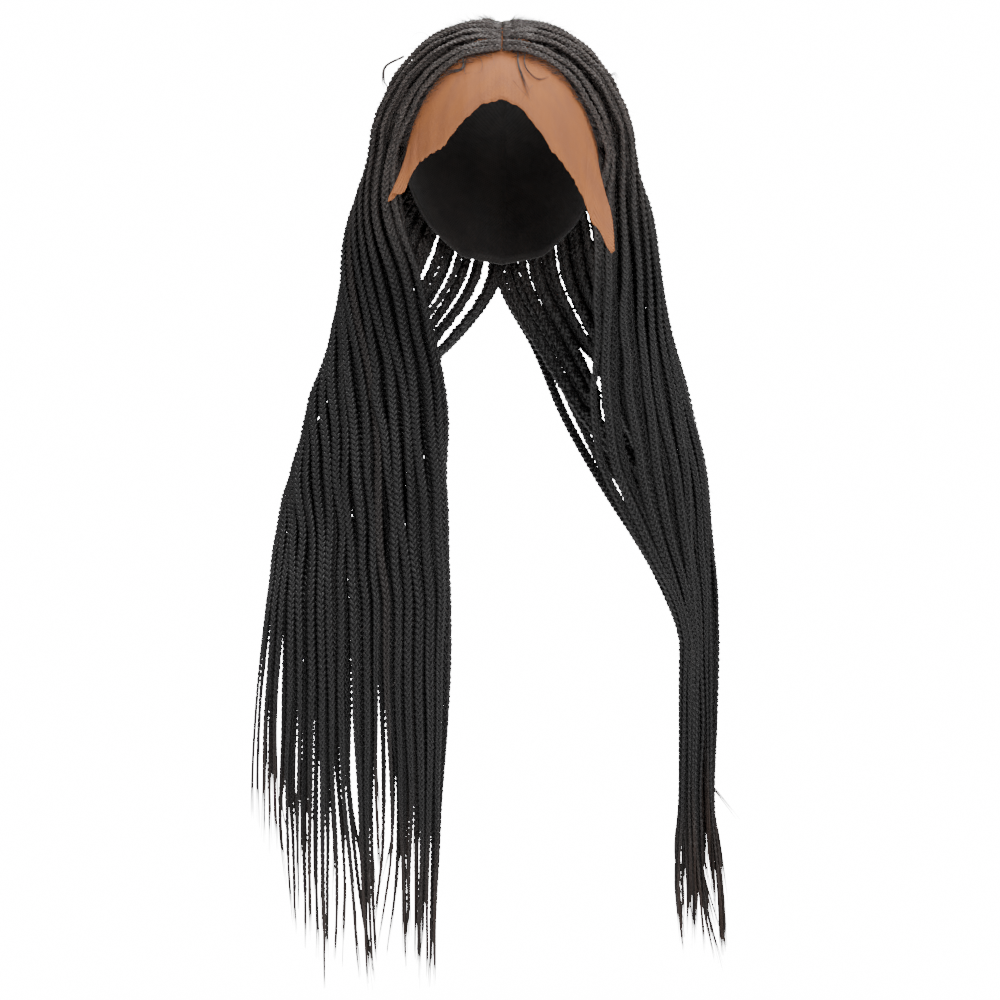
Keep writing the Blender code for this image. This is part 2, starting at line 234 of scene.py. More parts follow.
# How far apart strands take their grain, its radius round a strand, and the millimetres to a unit along it
GRAIN_APART = 97.0
GRAIN_AROUND = 1.7
GRAIN_RUN = 7.0
# The tint of single loose hairs, and their mark
LOOSE_TINT = 0.4
LOOSE_MARK = 0.5

# The lace's cut edge: degrees round from the front, degrees down from the top, and flare in millimetres
LACE_EDGE = (
    (-76, 94, 0), (-71, 98, 1), (-66.5, 107, 22), (-62, 102, 8), (-57, 96, 0), (-34.5, 91.5, 0),
    (-25, 83.5, 0), (-12.5, 74, 0), (0, 71.5, 0), (10.5, 75.5, 0), (19, 83.5, 0), (28, 92.5, 0),
    (39, 98, 0), (58, 107, 0), (62, 115, 9), (66.5, 121, 29), (71, 98, 1), (76, 94, 0),
)
# The cap's hem: degrees round from the front, and degrees down from the top
CAP_EDGE = (
    (0, 9), (15, 18), (30, 34), (50, 60), (66, 82), (76, 92), (105, 99), (125, 112), (150, 123),
    (180, 126),
)

# Curls and hairs that lie on the lace, and hairs that stand off the wig at a depth
LOOSE_STRANDS = (
    Strand(((462.7, 55), (463.4, 66), (458, 70.5), (447.4, 71.3), (439.7, 68.2)), 3.0, 0.4, 14),
    Strand(((466, 58), (465, 73), (473, 70.5)), 2.6, 0.16, 3),
    Strand(((518, 50), (518.5, 64.4), (524, 81), (531.5, 101)), 2.8, 0.38, 10),
    Strand(((525.4, 51), (524.6, 63), (529, 72), (537.7, 79), (547, 77.4), (551.4, 73.6)), 3.0, 0.32, 6),
    Strand(((513, 80), (522, 90), (533, 99)), 2.4, 0.12, 2),
    Strand(((533, 85), (526, 94), (519, 104)), 2.4, 0.12, 2),
    Strand(((475, 52), (482, 62), (480, 72), (474, 74)), 2.4, 0.12, 3),
    Strand(((452, 60), (447, 66), (439, 68), (433, 73)), 2.4, 0.16, 4),
    Strand(((497, 50), (494, 60), (498, 68)), 2.4, 0.1, 2),
)
FLYAWAYS = (
    Strand(((404, 56), (385.5, 66), (383, 80), (385, 86), (391, 95)), -20, 0.62, 8),
    Strand(((603, 70), (610, 75), (615, 73), (618, 79), (619, 88)), -10, 0.55, 5),
    Strand(((590, 55), (595, 58), (602, 64)), 0, 0.22, 2),
    Strand(((628, 195), (635, 200), (633, 213), (630, 219), (624, 225)), 30, 0.2, 2),
    Strand(((430, 38), (424, 33), (416, 33), (410, 38)), 0, 0.16, 2),
    Strand(((560, 35), (566, 30), (575, 32), (579, 38)), 0, 0.16, 2),
    Strand(((691, 754), (706, 778), (723.5, 800), (739, 820)), 95, 0.6, 5),
)


def smooth(value: Array, low: float, high: float) -> Array:
    """Returns the smooth step of a value from 0 at low to 1 at high."""
    share = np.clip((value - low) / (high - low), 0.0, 1.0)
    return share * share * (3 - 2 * share)


def unit(vectors: Array) -> Array:
    """Returns vectors brought to length one along their last axis."""
    return vectors / np.maximum(np.linalg.norm(vectors, axis=-1, keepdims=True), 1e-9)


def dot(first: Array, second: Array) -> Array:
    """Returns the dot products along the last axis, kept as a column."""
    return np.sum(first * second, axis=-1, keepdims=True)


def run_along(line: Array) -> Array:
    """Returns the length run from the start of a line to each of its points."""
    return np.concatenate([[0], np.cumsum(np.linalg.norm(np.diff(line, axis=0), axis=1))])


def read_line(run: Array, length: Array, line: Array) -> Array:
    """Returns the points or directions of a line at lengths run along it."""
    return np.stack([np.interp(run, length, line[:, axis]) for axis in range(3)], -1)


def fall_of(points: Array) -> Array:
    """Returns the length run down each column of a grid of points."""
    start = np.zeros((len(points), 1))
    return np.concatenate([start, np.cumsum(np.linalg.norm(np.diff(points, axis=1), axis=2), 1)], 1)


def shade_of(run: Array, tint: float, mark: Array) -> Array:
    """Returns the colour numbers of strands: the share along the braid, its tint and a mark by chance."""
    return np.stack([run, np.full(run.shape, tint), np.broadcast_to(mark, run.shape)], -1)


def curve_through(knots: Sequence[float], values: Sequence[float], at: Array) -> Array:
    """Runs a smooth curve through a few knots.

    Args:
        knots: Rising positions.
        values: The value at each position.
        at: Positions to read.

    Returns:
        The curve's values, held flat beyond its ends.
    """
    spots, heights = np.asarray(knots, float), np.asarray(values, float)
    slope = np.gradient(heights, spots)
    where = np.clip(at, spots[0], spots[-1])
    index = np.clip(np.searchsorted(spots, where) - 1, 0, len(spots) - 2)
    span = spots[index + 1] - spots[index]
    share = (where - spots[index]) / span
    s2, s3 = share ** 2, share ** 3
    return ((2 * s3 - 3 * s2 + 1) * heights[index] + (s3 - 2 * s2 + share) * slope[index] * span
            + (3 * s2 - 2 * s3) * heights[index + 1] + (s3 - s2) * slope[index + 1] * span)


@dataclass(frozen=True)
class Head:
    """The head that the cap is shaped for, in millimetres."""

    centre: Tuple[float, float, float] = (0.0, 3.0, -95.0)
    half_width: float = 76.0
    half_depth: float = 93.0
    above: float = 95.0
    below: float = 140.0

    def halves(self, rising: Array) -> Array:
        """Returns the half sizes for directions whose height has the given sign."""
        height = np.where(rising > 0, self.above, self.below)
        width, depth = np.full_like(height, self.half_width), np.full_like(height, self.half_depth)
        return np.stack([width, depth, height], -1)

    def surface(self, way: Array, lift: Array) -> Array:
        """Puts directions on the head.

        Args:
            way: Unit directions.
            lift: Height above the head, in millimetres.

        Returns:
            The points.
        """
        half = self.halves(way[..., 2])
        return np.array(self.centre) + half * way + unit(way / half) * np.asarray(lift)[..., None]

    def outward(self, points: Array) -> Array:
        """Returns the outward directions of the head at points on or near it."""
        away = points - np.array(self.centre)
        return unit(away / self.halves(away[..., 2]) ** 2)

    def height(self, points: Array) -> Array:
        """Returns how far points stand off the head."""
        away = points - np.array(self.centre)
        seat = self.surface(unit(away / self.halves(away[..., 2])), np.zeros(points.shape[:-1]))
        return dot(points - seat, self.outward(points))[..., 0]


def direction(azimuth: Array, polar: Array) -> Array:
    """Returns unit directions from an azimuth off the front and a polar angle off the top, in degrees."""
    turn, fall = np.broadcast_arrays(np.radians(azimuth), np.radians(polar))
    return np.stack([np.sin(fall) * np.sin(turn), -np.sin(fall) * np.cos(turn), np.cos(fall)], -1)


@dataclass(frozen=True)
class PhotoView:
    """The photograph's level camera, in millimetres and pixels."""

    eye_x: float = -1.6
    eye_y: float = -2600.0
    eye_z: float = -367.0
    pixel: float = 0.78
    middle: float = 500.0
    lens: float = 120.0

    def scale(self, y: Array) -> Array:
        """Returns the millimetres that a pixel spans at a depth."""
        return self.pixel * (y - self.eye_y) / -self.eye_y

    def pixels(self, points: Array) -> Tuple[Array, Array]:
        """Returns the columns and rows at which points show."""
        scale = self.scale(points[..., 1])
        across = self.middle + (points[..., 0] - self.eye_x) / scale
        return across, self.middle - (points[..., 2] - self.eye_z) / scale

    def at_depth(self, column: Array, row: Array, y: Array) -> Array:
        """Returns the points that show at pixels and lie at a depth."""
        scale = self.scale(y)
        x = self.eye_x + (column - self.middle) * scale
        z = self.eye_z + (self.middle - row) * scale
        return np.stack(np.broadcast_arrays(x, y, z), -1)

    def on_head(self, column: Array, row: Array, head: Head, lift: float) -> Array:
        """Finds where the sight lines of pixels meet the head.

        Args:
            column: Pixel columns.
            row: Pixel rows.
            head: The head.
            lift: Height above the head, in millimetres.

        Returns:
            The nearest points, or those at the head's widest where a line passes it.
        """
        far = self.at_depth(column, row, np.zeros_like(column))
        eye = np.array([self.eye_x, self.eye_y, self.eye_z])
        ray = unit(far - eye)
        found = far.copy()
        for height, upper in ((head.below, False), (head.above, True)):
            half = np.array([head.half_width, head.half_depth, height]) + lift
            start, step = (eye - np.array(head.centre)) / half, ray / half
            a, b, c = dot(step, step), dot(step, start), dot(start, start) - 1
            reach = (-b - np.sqrt(np.maximum(b * b - a * c, 0.0))) / a
            hit = eye + ray * reach
            take = (hit[..., 2:] > head.centre[2]) == upper
            found = np.where(take, hit, found)
        return found


@dataclass(frozen=True)
class Layer:
    """The middle surface of one layer of braids, as the solids have it, in millimetres and degrees."""

    side: Side
    seats: Tuple[Seat, ...]
    sections: Tuple[Section, ...]
    hairline: Tuple[float, ...] = ()
    head: Head = Head()
    part_front: float = 45.0
    part_back: float = 132.0
    part_gap: float = 0.8
    ring_front: float = 72.0
    ring_back: float = 177.0
    fuller_part: Ramp = Ramp(0.0, 0.3)
    hugging_part: Ramp = Ramp(0.0, 0.16)
    probe: float = 0.02
    off_head: Tuple[float, float] = (-1.6, -0.4)

    @property
    def count(self) -> int:
        """The number of stations, seats and sections together."""
        return len(self.seats) + len(self.sections)

    def stations(self, across: Array) -> Array:
        """Returns the stations of many lines down the layer, as lines by stations by three."""
        sign = self.side.value
        root = np.radians(self.part_front + (self.part_back - self.part_front) * across)
        beside = math.radians(self.part_gap)
        start = np.stack([np.full_like(root, sign * math.sin(beside)), -np.cos(root) * math.cos(beside),
                          np.sin(root) * math.cos(beside)], -1)
        end = direction(sign * (self.ring_front + (self.ring_back - self.ring_front) * across), 90.0)
        whole = np.arccos(np.clip(dot(start, end), -1, 1))
        fuller, hugging = self.fuller_part.up(across), self.hugging_part.down(across)
        rows = []
        for seat in self.seats:
            way = start * np.sin(whole * (1 - seat.share)) + end * np.sin(whole * seat.share)
            lift = seat.middle + seat.fuller * fuller - seat.hug * hugging
            rows.append(self.head.surface(way / np.sin(whole), lift))
        face, back = (1 - across) * (1 - 2 * across), across * (2 * across - 1)
        mid = 4 * across * (1 - across)
        for cut in self.sections:
            x = face * cut.face_x + mid * cut.mid_x + back * cut.back_x
            y = face * cut.face_y + mid * cut.mid_y + back * cut.back_y
            rows.append(np.stack([x, y, np.full_like(x, cut.z)], -1))
        return np.stack(rows, 1)

    def place(self, across: Array, down: Array) -> Array:
        """Finds points of the surface.

        Args:
            across: From the face edge (0) to the back edge (1).
            down: Station numbers, with shares of a station between them.

        Returns:
            The points, on the smooth curves through the stations.
        """
        across, down = np.broadcast_arrays(np.asarray(across, float), np.asarray(down, float))
        shape, across, down = across.shape, across.ravel(), down.ravel()
        spots = self.stations(across)
        first = np.clip(down.astype(int), 0, self.count - 2)
        share = (down - first)[:, None]
        index = np.clip(first[:, None] + np.arange(-1, 3), 0, self.count - 1)
        near = np.take_along_axis(spots, index[:, :, None], 1)
        steps = near[:, 1:] - near[:, :-1]
        reach = np.maximum(np.linalg.norm(steps, axis=2, keepdims=True), 1e-6)
        rate = steps / reach
        slopes = []
        for k in (0, 1):
            before, after = reach[:, k], reach[:, k + 1]
            slope = (rate[:, k] * after + rate[:, k + 1] * before) / (after + before)
            slopes.append(slope * reach[:, 1])
        whole = steps[:, 1]
        slopes[0] = np.where(first[:, None] == 0, whole, slopes[0])
        slopes[1] = np.where(first[:, None] == self.count - 2, whole, slopes[1])
        s2, s3 = share ** 2, share ** 3
        made = ((2 * s3 - 3 * s2 + 1) * near[:, 1] + (s3 - 2 * s2 + share) * slopes[0]
                + (3 * s2 - 2 * s3) * near[:, 2] + (s3 - s2) * slopes[1])
        return made.reshape(shape + (3,))

    def normal(self, across: Array, down: Array) -> Array:
        """Returns the surface's outward directions at the same arguments as place."""
        across, down = np.broadcast_arrays(np.asarray(across, float), np.asarray(down, float))
        before, beyond = np.maximum(across - self.probe, 0), np.minimum(across + self.probe, 1)
        over = self.place(beyond, down) - self.place(before, down)
        low, high = np.maximum(down - self.probe, 0), np.minimum(down + self.probe, self.count - 1.0)
        fall = self.place(across, high) - self.place(across, low)
        hanging = unit(np.cross(over, fall) * -self.side.value)
        seated = self.head.outward(self.place(across, down))
        blend = smooth(down, *(len(self.seats) + step for step in self.off_head))[..., None]
        return unit(seated * (1 - blend) + hanging * blend)

    def edged(self, across: Array, down: Array) -> Array:
        """Returns shares across the layer, moved so that its first lines follow the hairline."""
        if not self.hairline:
            return across + 0.0 * down
        back = np.interp(down, range(len(self.hairline)), self.hairline)
        return across + back * np.clip(1.0 - across, 0.0, 1.0) ** 3

    def level(self, z: float) -> float:
        """Returns the station number at which the hanging part is at a height."""
        drops = [-cut.z for cut in self.sections]
        return len(self.seats) + float(np.interp(-z, drops, range(len(drops))))


class Soup:
    """Many tubes and sheets gathered as arrays, and made into one mesh at the end."""

    def __init__(self) -> None:
        """Starts with nothing in it."""
        self.points: List[Array] = []
        self.quads: List[Array] = []
        self.fans: Dict[int, List[Array]] = {}
        self.hair: List[Array] = []
        self.grain: List[Array] = []
        self.count = 0

    def tubes(self, centre: Array, front: Array, front_radius: Array, side_radius: Array, sides: int,
              shade: Array) -> None:
        """Adds closed tubes.

        Args:
            centre: Middle points, as tubes by rings by three, in millimetres.
            front: A direction for each ring, roughly square to the tube.
            front_radius: Half thickness along the front direction, tubes by rings.
            side_radius: Half thickness across it, tubes by rings.
            sides: Corners of a ring.
            shade: Three numbers for each ring that colour it, tubes by rings by three.
        """
        tubes, rings = centre.shape[:2]
        along = unit(np.gradient(centre, axis=1))
        facing = unit(front - dot(front, along) * along)
        aside = np.cross(along, facing)
        turn = 2 * math.pi * np.arange(sides) / sides
        ring = (facing[:, :, None] * (front_radius[..., None] * np.cos(turn))[..., None]
                + aside[:, :, None] * (side_radius[..., None] * np.sin(turn))[..., None])
        self.points.append((centre[:, :, None] + ring).reshape(-1, 3))
        run = fall_of(centre)
        offset = (shade[:, 0, 2] * GRAIN_APART)[:, None, None]
        whole = (tubes, rings, sides)
        grain = np.stack([np.broadcast_to(np.cos(turn) * GRAIN_AROUND, whole) + offset,
                          np.broadcast_to(np.sin(turn) * GRAIN_AROUND, whole) - offset,
                          np.broadcast_to(run[:, :, None] / GRAIN_RUN, whole)], -1)
        self.grain.append(grain.reshape(-1, 3))
        self.hair.append(np.broadcast_to(shade[:, :, None], (tubes, rings, sides, 3)).reshape(-1, 3))
        base = (self.count + np.arange(tubes) * rings * sides)[:, None, None]
        row, corner = np.arange(rings - 1)[None, :, None] * sides, np.arange(sides)[None, None, :]
        following = (corner + 1) % sides
        quads = np.stack([base + row + corner, base + row + following, base + row + sides + following,
                          base + row + sides + corner], -1)
        self.quads.append(quads.reshape(-1, 4))
        first = base[:, :, 0] + np.arange(sides)[::-1]
        last = base[:, :, 0] + (rings - 1) * sides + np.arange(sides)
        self.fans.setdefault(sides, []).append(np.concatenate([first, last]))
        self.count += tubes * rings * sides

    def sheet(self, outer: Array, inner: Array, cloth: Array, shade: Array, around: bool = False) -> None:
        """Adds a thin wall closed by its rims.

        Args:
            outer: Outer points, columns by rows by three, in millimetres.
            inner: Inner points, the same.
            cloth: Flat cloth coordinates of the same points.
            shade: Three numbers for each point that colour it.
            around: Whether the last column joins the first.
        """
        columns, rows = outer.shape[:2]
        for part in (outer, inner):
            self.points.append(part.reshape(-1, 3))
            self.grain.append(cloth.reshape(-1, 3))
            self.hair.append(shade.reshape(-1, 3))
        index = self.count + np.arange(columns * rows).reshape(columns, rows)
        back = index + columns * rows
        if around:
            index, back = np.vstack([index, index[:1]]), np.vstack([back, back[:1]])
        faces = []
        for grid, flip in ((index, False), (back, True)):
            quad = np.stack([grid[:-1, :-1], grid[:-1, 1:], grid[1:, 1:], grid[1:, :-1]], -1).reshape(-1, 4)
            faces.append(quad[:, ::-1] if flip else quad)
        edges = [(index[:, -1], back[:, -1], False), (index[:, 0], back[:, 0], True)]
        if not around:
            edges += [(index[-1], back[-1], True), (index[0], back[0], False)]
        for top, bottom, flip in edges:
            quad = np.stack([top[:-1], bottom[:-1], bottom[1:], top[1:]], -1)
            faces.append(quad[:, ::-1] if flip else quad)
        self.quads.extend(faces)
        self.count += 2 * columns * rows

    def make(self, name: str, material: bpy.types.Material) -> bpy.types.Object:
        """Makes the object.

        Args:
            name: The piece's name.
            material: Its only material.

        Returns:
            The new object, smooth, with its colour and grain attributes.
        """
        blocks = [np.concatenate(self.quads)] + [np.concatenate(part) for part in self.fans.values()]
        corners = np.concatenate([block.ravel() for block in blocks]).astype(np.int32)
        sizes = np.concatenate([np.full(len(block), block.shape[1]) for block in blocks])
        mesh = bpy.data.meshes.new(name)
        mesh.vertices.add(self.count)
        mesh.vertices.foreach_set("co", (np.concatenate(self.points) * MM).astype(np.float32).ravel())
        mesh.loops.add(len(corners))
        mesh.loops.foreach_set("vertex_index", corners)
        mesh.polygons.add(len(sizes))
        starts = np.concatenate([[0], np.cumsum(sizes)[:-1]]).astype(np.int32)
        mesh.polygons.foreach_set("loop_start", starts)
        mesh.update(calc_edges=True)
        mesh.validate()
        hair = mesh.attributes.new("hair", "FLOAT_COLOR", "POINT")
        shade = np.concatenate(self.hair)
        colours = np.column_stack([shade, np.ones(len(shade))])
        hair.data.foreach_set("color", colours.astype(np.float32).ravel())
        grain = mesh.attributes.new("grain", "FLOAT_VECTOR", "POINT")
        grain.data.foreach_set("vector", np.concatenate(self.grain).astype(np.float32).ravel())
        mesh.shade_smooth()
        mesh.materials.append(material)
        made = bpy.data.objects.new(name, mesh)
        bpy.context.scene.collection.objects.link(made)
        faces = int(sum((block.shape[1] - 2) * len(block) for block in blocks))
        LOG.info("%s: %d triangles", name, faces)
        return made


class Graph:
    """A node tree with short calls for the nodes that the finishes use."""

    def __init__(self, tree: bpy.types.NodeTree) -> None:
        """Takes the tree to fill."""
        self.tree = tree

    def add(self, kind: str, **settings: object) -> bpy.types.Node:
        """Returns a new node of a kind with the given settings."""
        node = self.tree.nodes.new(kind)
        for key, value in settings.items():
            setattr(node, key, value)
        return node

    def join(self, source: bpy.types.NodeSocket, target: bpy.types.NodeSocket) -> None:
        """Links one socket to another."""
        self.tree.links.new(source, target)

    def feed(self, target: bpy.types.NodeSocket, value: object) -> None:
        """Links a socket to the target, or sets a plain value on it."""
        if isinstance(value, bpy.types.NodeSocket):
            self.join(value, target)
        else:
            target.default_value = value

    def math(self, operation: str, *values: object) -> bpy.types.NodeSocket:
        """Returns the result of a math node fed with the values."""
        node = self.add("ShaderNodeMath", operation=operation)
        for socket, value in zip(node.inputs, values):
            self.feed(socket, value)
        return node.outputs[0]

    def span(self, value: object, source: Tuple[float, float],
             target: Tuple[float, float]) -> bpy.types.NodeSocket:
        """Returns a value mapped smoothly from one range to another."""
        node = self.add("ShaderNodeMapRange", interpolation_type="SMOOTHSTEP")
        self.feed(node.inputs["Value"], value)
        node.inputs["From Min"].default_value, node.inputs["From Max"].default_value = source
        node.inputs["To Min"].default_value, node.inputs["To Max"].default_value = target
        return node.outputs["Result"]

    def mix(self, factor: object, first: object, second: object) -> bpy.types.NodeSocket:
        """Returns a blend of two colours."""
        node = self.add("ShaderNodeMix", data_type="RGBA")
        self.feed(node.inputs["Factor"], factor)
        self.feed(node.inputs[6], first)
        self.feed(node.inputs[7], second)
        return node.outputs[2]

    def noise(self, vector: object, scale: float, detail: float = 2.0) -> bpy.types.NodeSocket:
        """Returns the value of a noise texture."""
        node = self.add("ShaderNodeTexNoise")
        self.feed(node.inputs["Vector"], vector)
        node.inputs["Scale"].default_value = scale
        node.inputs["Detail"].default_value = detail
        return node.outputs[0]

    def attribute(self, name: str) -> bpy.types.Node:
        """Returns the node that reads a mesh attribute."""
        return self.add("ShaderNodeAttribute", attribute_name=name, attribute_type="GEOMETRY")

    def place(self, group: bpy.types.NodeTree, **values: object) -> bpy.types.Node:
        """Returns a shared effect placed in this tree with its own values."""
        node = self.add("ShaderNodeGroup", node_tree=group)
        for key, value in values.items():
            self.feed(node.inputs[key.replace("_", " ")], value)
        return node


def new_group(name: str, inputs: Sockets, outputs: Sockets) -> Tuple[Graph, bpy.types.Node, bpy.types.Node]:
    """Starts a shared effect.

    Args:
        name: The group's name.
        inputs: Names and kinds of its inputs.
        outputs: Names and kinds of its outputs.

    Returns:
        Its graph, its input node and its output node.
    """
    tree = bpy.data.node_groups.new(name, "ShaderNodeTree")
    for way, sockets in (("INPUT", inputs), ("OUTPUT", outputs)):
        for label, kind in sockets:
            tree.interface.new_socket(name=label, in_out=way, socket_type=kind)
    graph = Graph(tree)
    return graph, graph.add("NodeGroupInput"), graph.add("NodeGroupOutput")


def fibre_group() -> bpy.types.NodeTree:
    """Builds the effect of fine fibres that run along a strand, as a streak value and a normal."""
    graph, given, made = new_group(
        "fibres", [("Vector", "NodeSocketVector"), ("Strength", "NodeSocketFloat")],
        [("Streak", "NodeSocketFloat"), ("Normal", "NodeSocketVector")])
    fine_scale, broad_scale, fine_share, depth = 1.9, 0.55, 0.65, 0.0004
    fine = graph.noise(given.outputs["Vector"], fine_scale)
    broad = graph.noise(given.outputs["Vector"], broad_scale, 1.0)
    streak = graph.math("MULTIPLY_ADD", broad, 1 - fine_share, graph.math("MULTIPLY", fine, fine_share))
    bump = graph.add("ShaderNodeBump")
    graph.join(given.outputs["Strength"], bump.inputs["Strength"])
    bump.inputs["Distance"].default_value = depth
    graph.join(fine, bump.inputs["Height"])
    graph.join(graph.span(streak, (0.36, 0.64), (0.0, 1.0)), made.inputs["Streak"])
    graph.join(bump.outputs[0], made.inputs["Normal"])
    return graph.tree


def net_group() -> bpy.types.NodeTree:
    """Builds the effect of a net with six-sided holes, as a mask that is one on the threads."""
    graph, given, made = new_group(
        "net", [("Vector", "NodeSocketVector"), ("Pitch", "NodeSocketFloat"), ("Opening", "NodeSocketFloat")],
        [("Thread", "NodeSocketFloat"), ("Normal", "NodeSocketVector")])
    waves = []
    for turn in (0.0, 120.0, 240.0):
        node = graph.add("ShaderNodeVectorMath", operation="DOT_PRODUCT")
        graph.join(given.outputs["Vector"], node.inputs[0])
        node.inputs[1].default_value = (math.cos(math.radians(turn)), math.sin(math.radians(turn)), 0.0)
        phase = graph.math("DIVIDE", node.outputs["Value"], given.outputs["Pitch"])
        waves.append(graph.math("COSINE", graph.math("MULTIPLY", phase, 2 * math.pi)))
    total = graph.math("ADD", graph.math("ADD", waves[0], waves[1]), waves[2])
    hole = graph.math("SUBTRACT", total, given.outputs["Opening"])
    thread = graph.span(hole, (-0.35, 0.35), (1.0, 0.0))
    bump = graph.add("ShaderNodeBump")
    bump.inputs["Strength"].default_value = 0.4
    bump.inputs["Distance"].default_value = 0.0003
    graph.join(thread, bump.inputs["Height"])
    graph.join(thread, made.inputs["Thread"])
    graph.join(bump.outputs[0], made.inputs["Normal"])
    return graph.tree


def new_material(name: str) -> Tuple[bpy.types.Material, Graph, bpy.types.Node]:
    """Returns a new material with its graph and its Principled shader."""
    material = bpy.data.materials.new(name)
    material.use_nodes = True
    return material, Graph(material.node_tree), material.node_tree.nodes["Principled BSDF"]


@dataclass(frozen=True)
class HairFinish:
    """Synthetic hair: near black along its fibres, brown at the tips, and near the roots a lighter warm brown
    that is partly the roots' own brown and partly painted sheen, with painted highlight specks.

    Shares run from the root (0) to the tip (1) of a braid. Its tint (0 to 1) is by chance.
    """

    name: str
    dark: Colour = (0.0022, 0.002, 0.0022, 1)
    light: Colour = (0.0072, 0.0066, 0.0072, 1)
    brown: Colour = (0.06, 0.035, 0.026, 1)
    # A lighter warm brown near the roots: partly the roots' own brown, partly painted sheen at the crown.
    root: Colour = (0.078, 0.058, 0.051, 1)
    # The pale grey of the painted highlight specks, glints on the fibres' kinks.
    highlight_speck: Colour = (0.26, 0.24, 0.23, 1)
    # Shares along the braid over which the root brown and its painted sheen fade out.
    root_tone_and_sheen_part: Tuple[float, float] = (0.1, 0.34)
    tip_part: Tuple[float, float] = (0.83, 1.0)
    odd_tints: Tuple[float, float] = (0.88, 0.97)
    odd_brown: float = 0.16
    least_brown: float = 0.35
    # The painted highlight specks: their noise scale, the noise values over which they appear, and how many
    # show near the roots and further down.
    highlight_speck_scale: float = 4.3
    highlight_speck_part: Tuple[float, float] = (0.62, 0.74)
    root_highlight_specks: float = 0.85
    low_highlight_specks: float = 0.03
    fibre_bump: float = 0.1
    roughness: float = 0.42
    dull: float = 0.14
    specular: float = 0.4
    sheen: float = 0.05

    def build(self, fibres: bpy.types.NodeTree) -> bpy.types.Material:
        """Makes the material from the shared fibre effect."""
        material, graph, shader = new_material(self.name)
        hair, grain = graph.attribute("hair"), graph.attribute("grain")
        parts = graph.add("ShaderNodeSeparateColor")
        graph.join(hair.outputs["Color"], parts.inputs[0])
        run, tint = parts.outputs[0], parts.outputs[1]
        fibre = graph.place(fibres, Vector=grain.outputs["Vector"], Strength=self.fibre_bump)
        streak = fibre.outputs["Streak"]
        # Near the roots the lighter fibres turn a lighter warm brown: partly the roots' own brown, partly
        # painted sheen at the crown.
        root_tone_and_sheen_mask = graph.span(run, self.root_tone_and_sheen_part, (1.0, 0.0))
        plain = graph.mix(streak, self.dark, self.light)
        plain = graph.mix(graph.math("MULTIPLY", root_tone_and_sheen_mask, streak), plain, self.root)
        # Painted highlights: pale grey glints where the fine noise is high, most near the roots and few
        # further down.
        spots = graph.noise(grain.outputs["Vector"], self.highlight_speck_scale, 1.0)
        spots = graph.span(spots, self.highlight_speck_part, (0.0, 1.0))
        many = graph.math("MULTIPLY_ADD", root_tone_and_sheen_mask, self.root_highlight_specks, self.low_highlight_specks)
        plain = graph.mix(graph.math("MULTIPLY", many, spots), plain, self.highlight_speck)
        uneven = graph.span(tint, (0.0, 1.0), (self.least_brown, 1.0))
        tips = graph.math("MULTIPLY", graph.span(run, self.tip_part, (0.0, 1.0)), uneven)
        odd = graph.span(tint, self.odd_tints, (0.0, self.odd_brown))
        uneven = graph.math("MULTIPLY_ADD", streak, 0.6, 0.4)
        warm = graph.math("MULTIPLY", graph.math("MAXIMUM", tips, odd), uneven)
        graph.join(graph.mix(warm, plain, self.brown), shader.inputs["Base Color"])
        rough = graph.span(streak, (0.0, 1.0), (self.roughness + self.dull, self.roughness))
        graph.join(rough, shader.inputs["Roughness"])
        graph.join(fibre.outputs["Normal"], shader.inputs["Normal"])
        shader.inputs["Specular IOR Level"].default_value = self.specular
        shader.inputs["Sheen Weight"].default_value = self.sheen
        shader.inputs["Sheen Roughness"].default_value = 0.5
        return material


@dataclass(frozen=True)
class NetFinish:
    """A knitted net, with threads over small six-sided holes, and a pale strip under the part."""

    name: str
    thread: Colour
    shadow: Colour
    pitch: float
    opening: float
    clear: float
    roughness: float = 0.6
    dull: float = 0.2
    sheen: float = 0.1
    specular: float = 0.3
    cloud_scale: float = 0.05
    parting: Colour = (0.3, 0.15, 0.09, 1)

    def build(self, net: bpy.types.NodeTree) -> bpy.types.Material:
        """Makes the material from the shared net effect."""
        material, graph, shader = new_material(self.name)
        hair, grain = graph.attribute("hair"), graph.attribute("grain")
        parts = graph.add("ShaderNodeSeparateColor")
        graph.join(hair.outputs["Color"], parts.inputs[0])
        holes, strip = parts.outputs[0], parts.outputs[1]
        weave = graph.place(net, Vector=grain.outputs["Vector"], Pitch=self.pitch, Opening=self.opening)
        cloudy = graph.noise(grain.outputs["Vector"], self.cloud_scale, 3.0)
        cloth = graph.mix(graph.span(cloudy, (0.35, 0.65), (0.0, 1.0)), self.shadow, self.thread)
        graph.join(graph.mix(strip, cloth, self.parting), shader.inputs["Base Color"])
        thread = weave.outputs["Thread"]
        open_part = graph.math("MULTIPLY", graph.math("SUBTRACT", 1.0, thread), holes)
        alpha = graph.math("SUBTRACT", 1.0, graph.math("MULTIPLY", open_part, self.clear))
        graph.join(alpha, shader.inputs["Alpha"])
        rough = graph.span(thread, (0.0, 1.0), (self.roughness + self.dull, self.roughness))
        graph.join(rough, shader.inputs["Roughness"])
        graph.join(weave.outputs["Normal"], shader.inputs["Normal"])
        shader.inputs["Sheen Weight"].default_value = self.sheen
        shader.inputs["Specular IOR Level"].default_value = self.specular
        return material


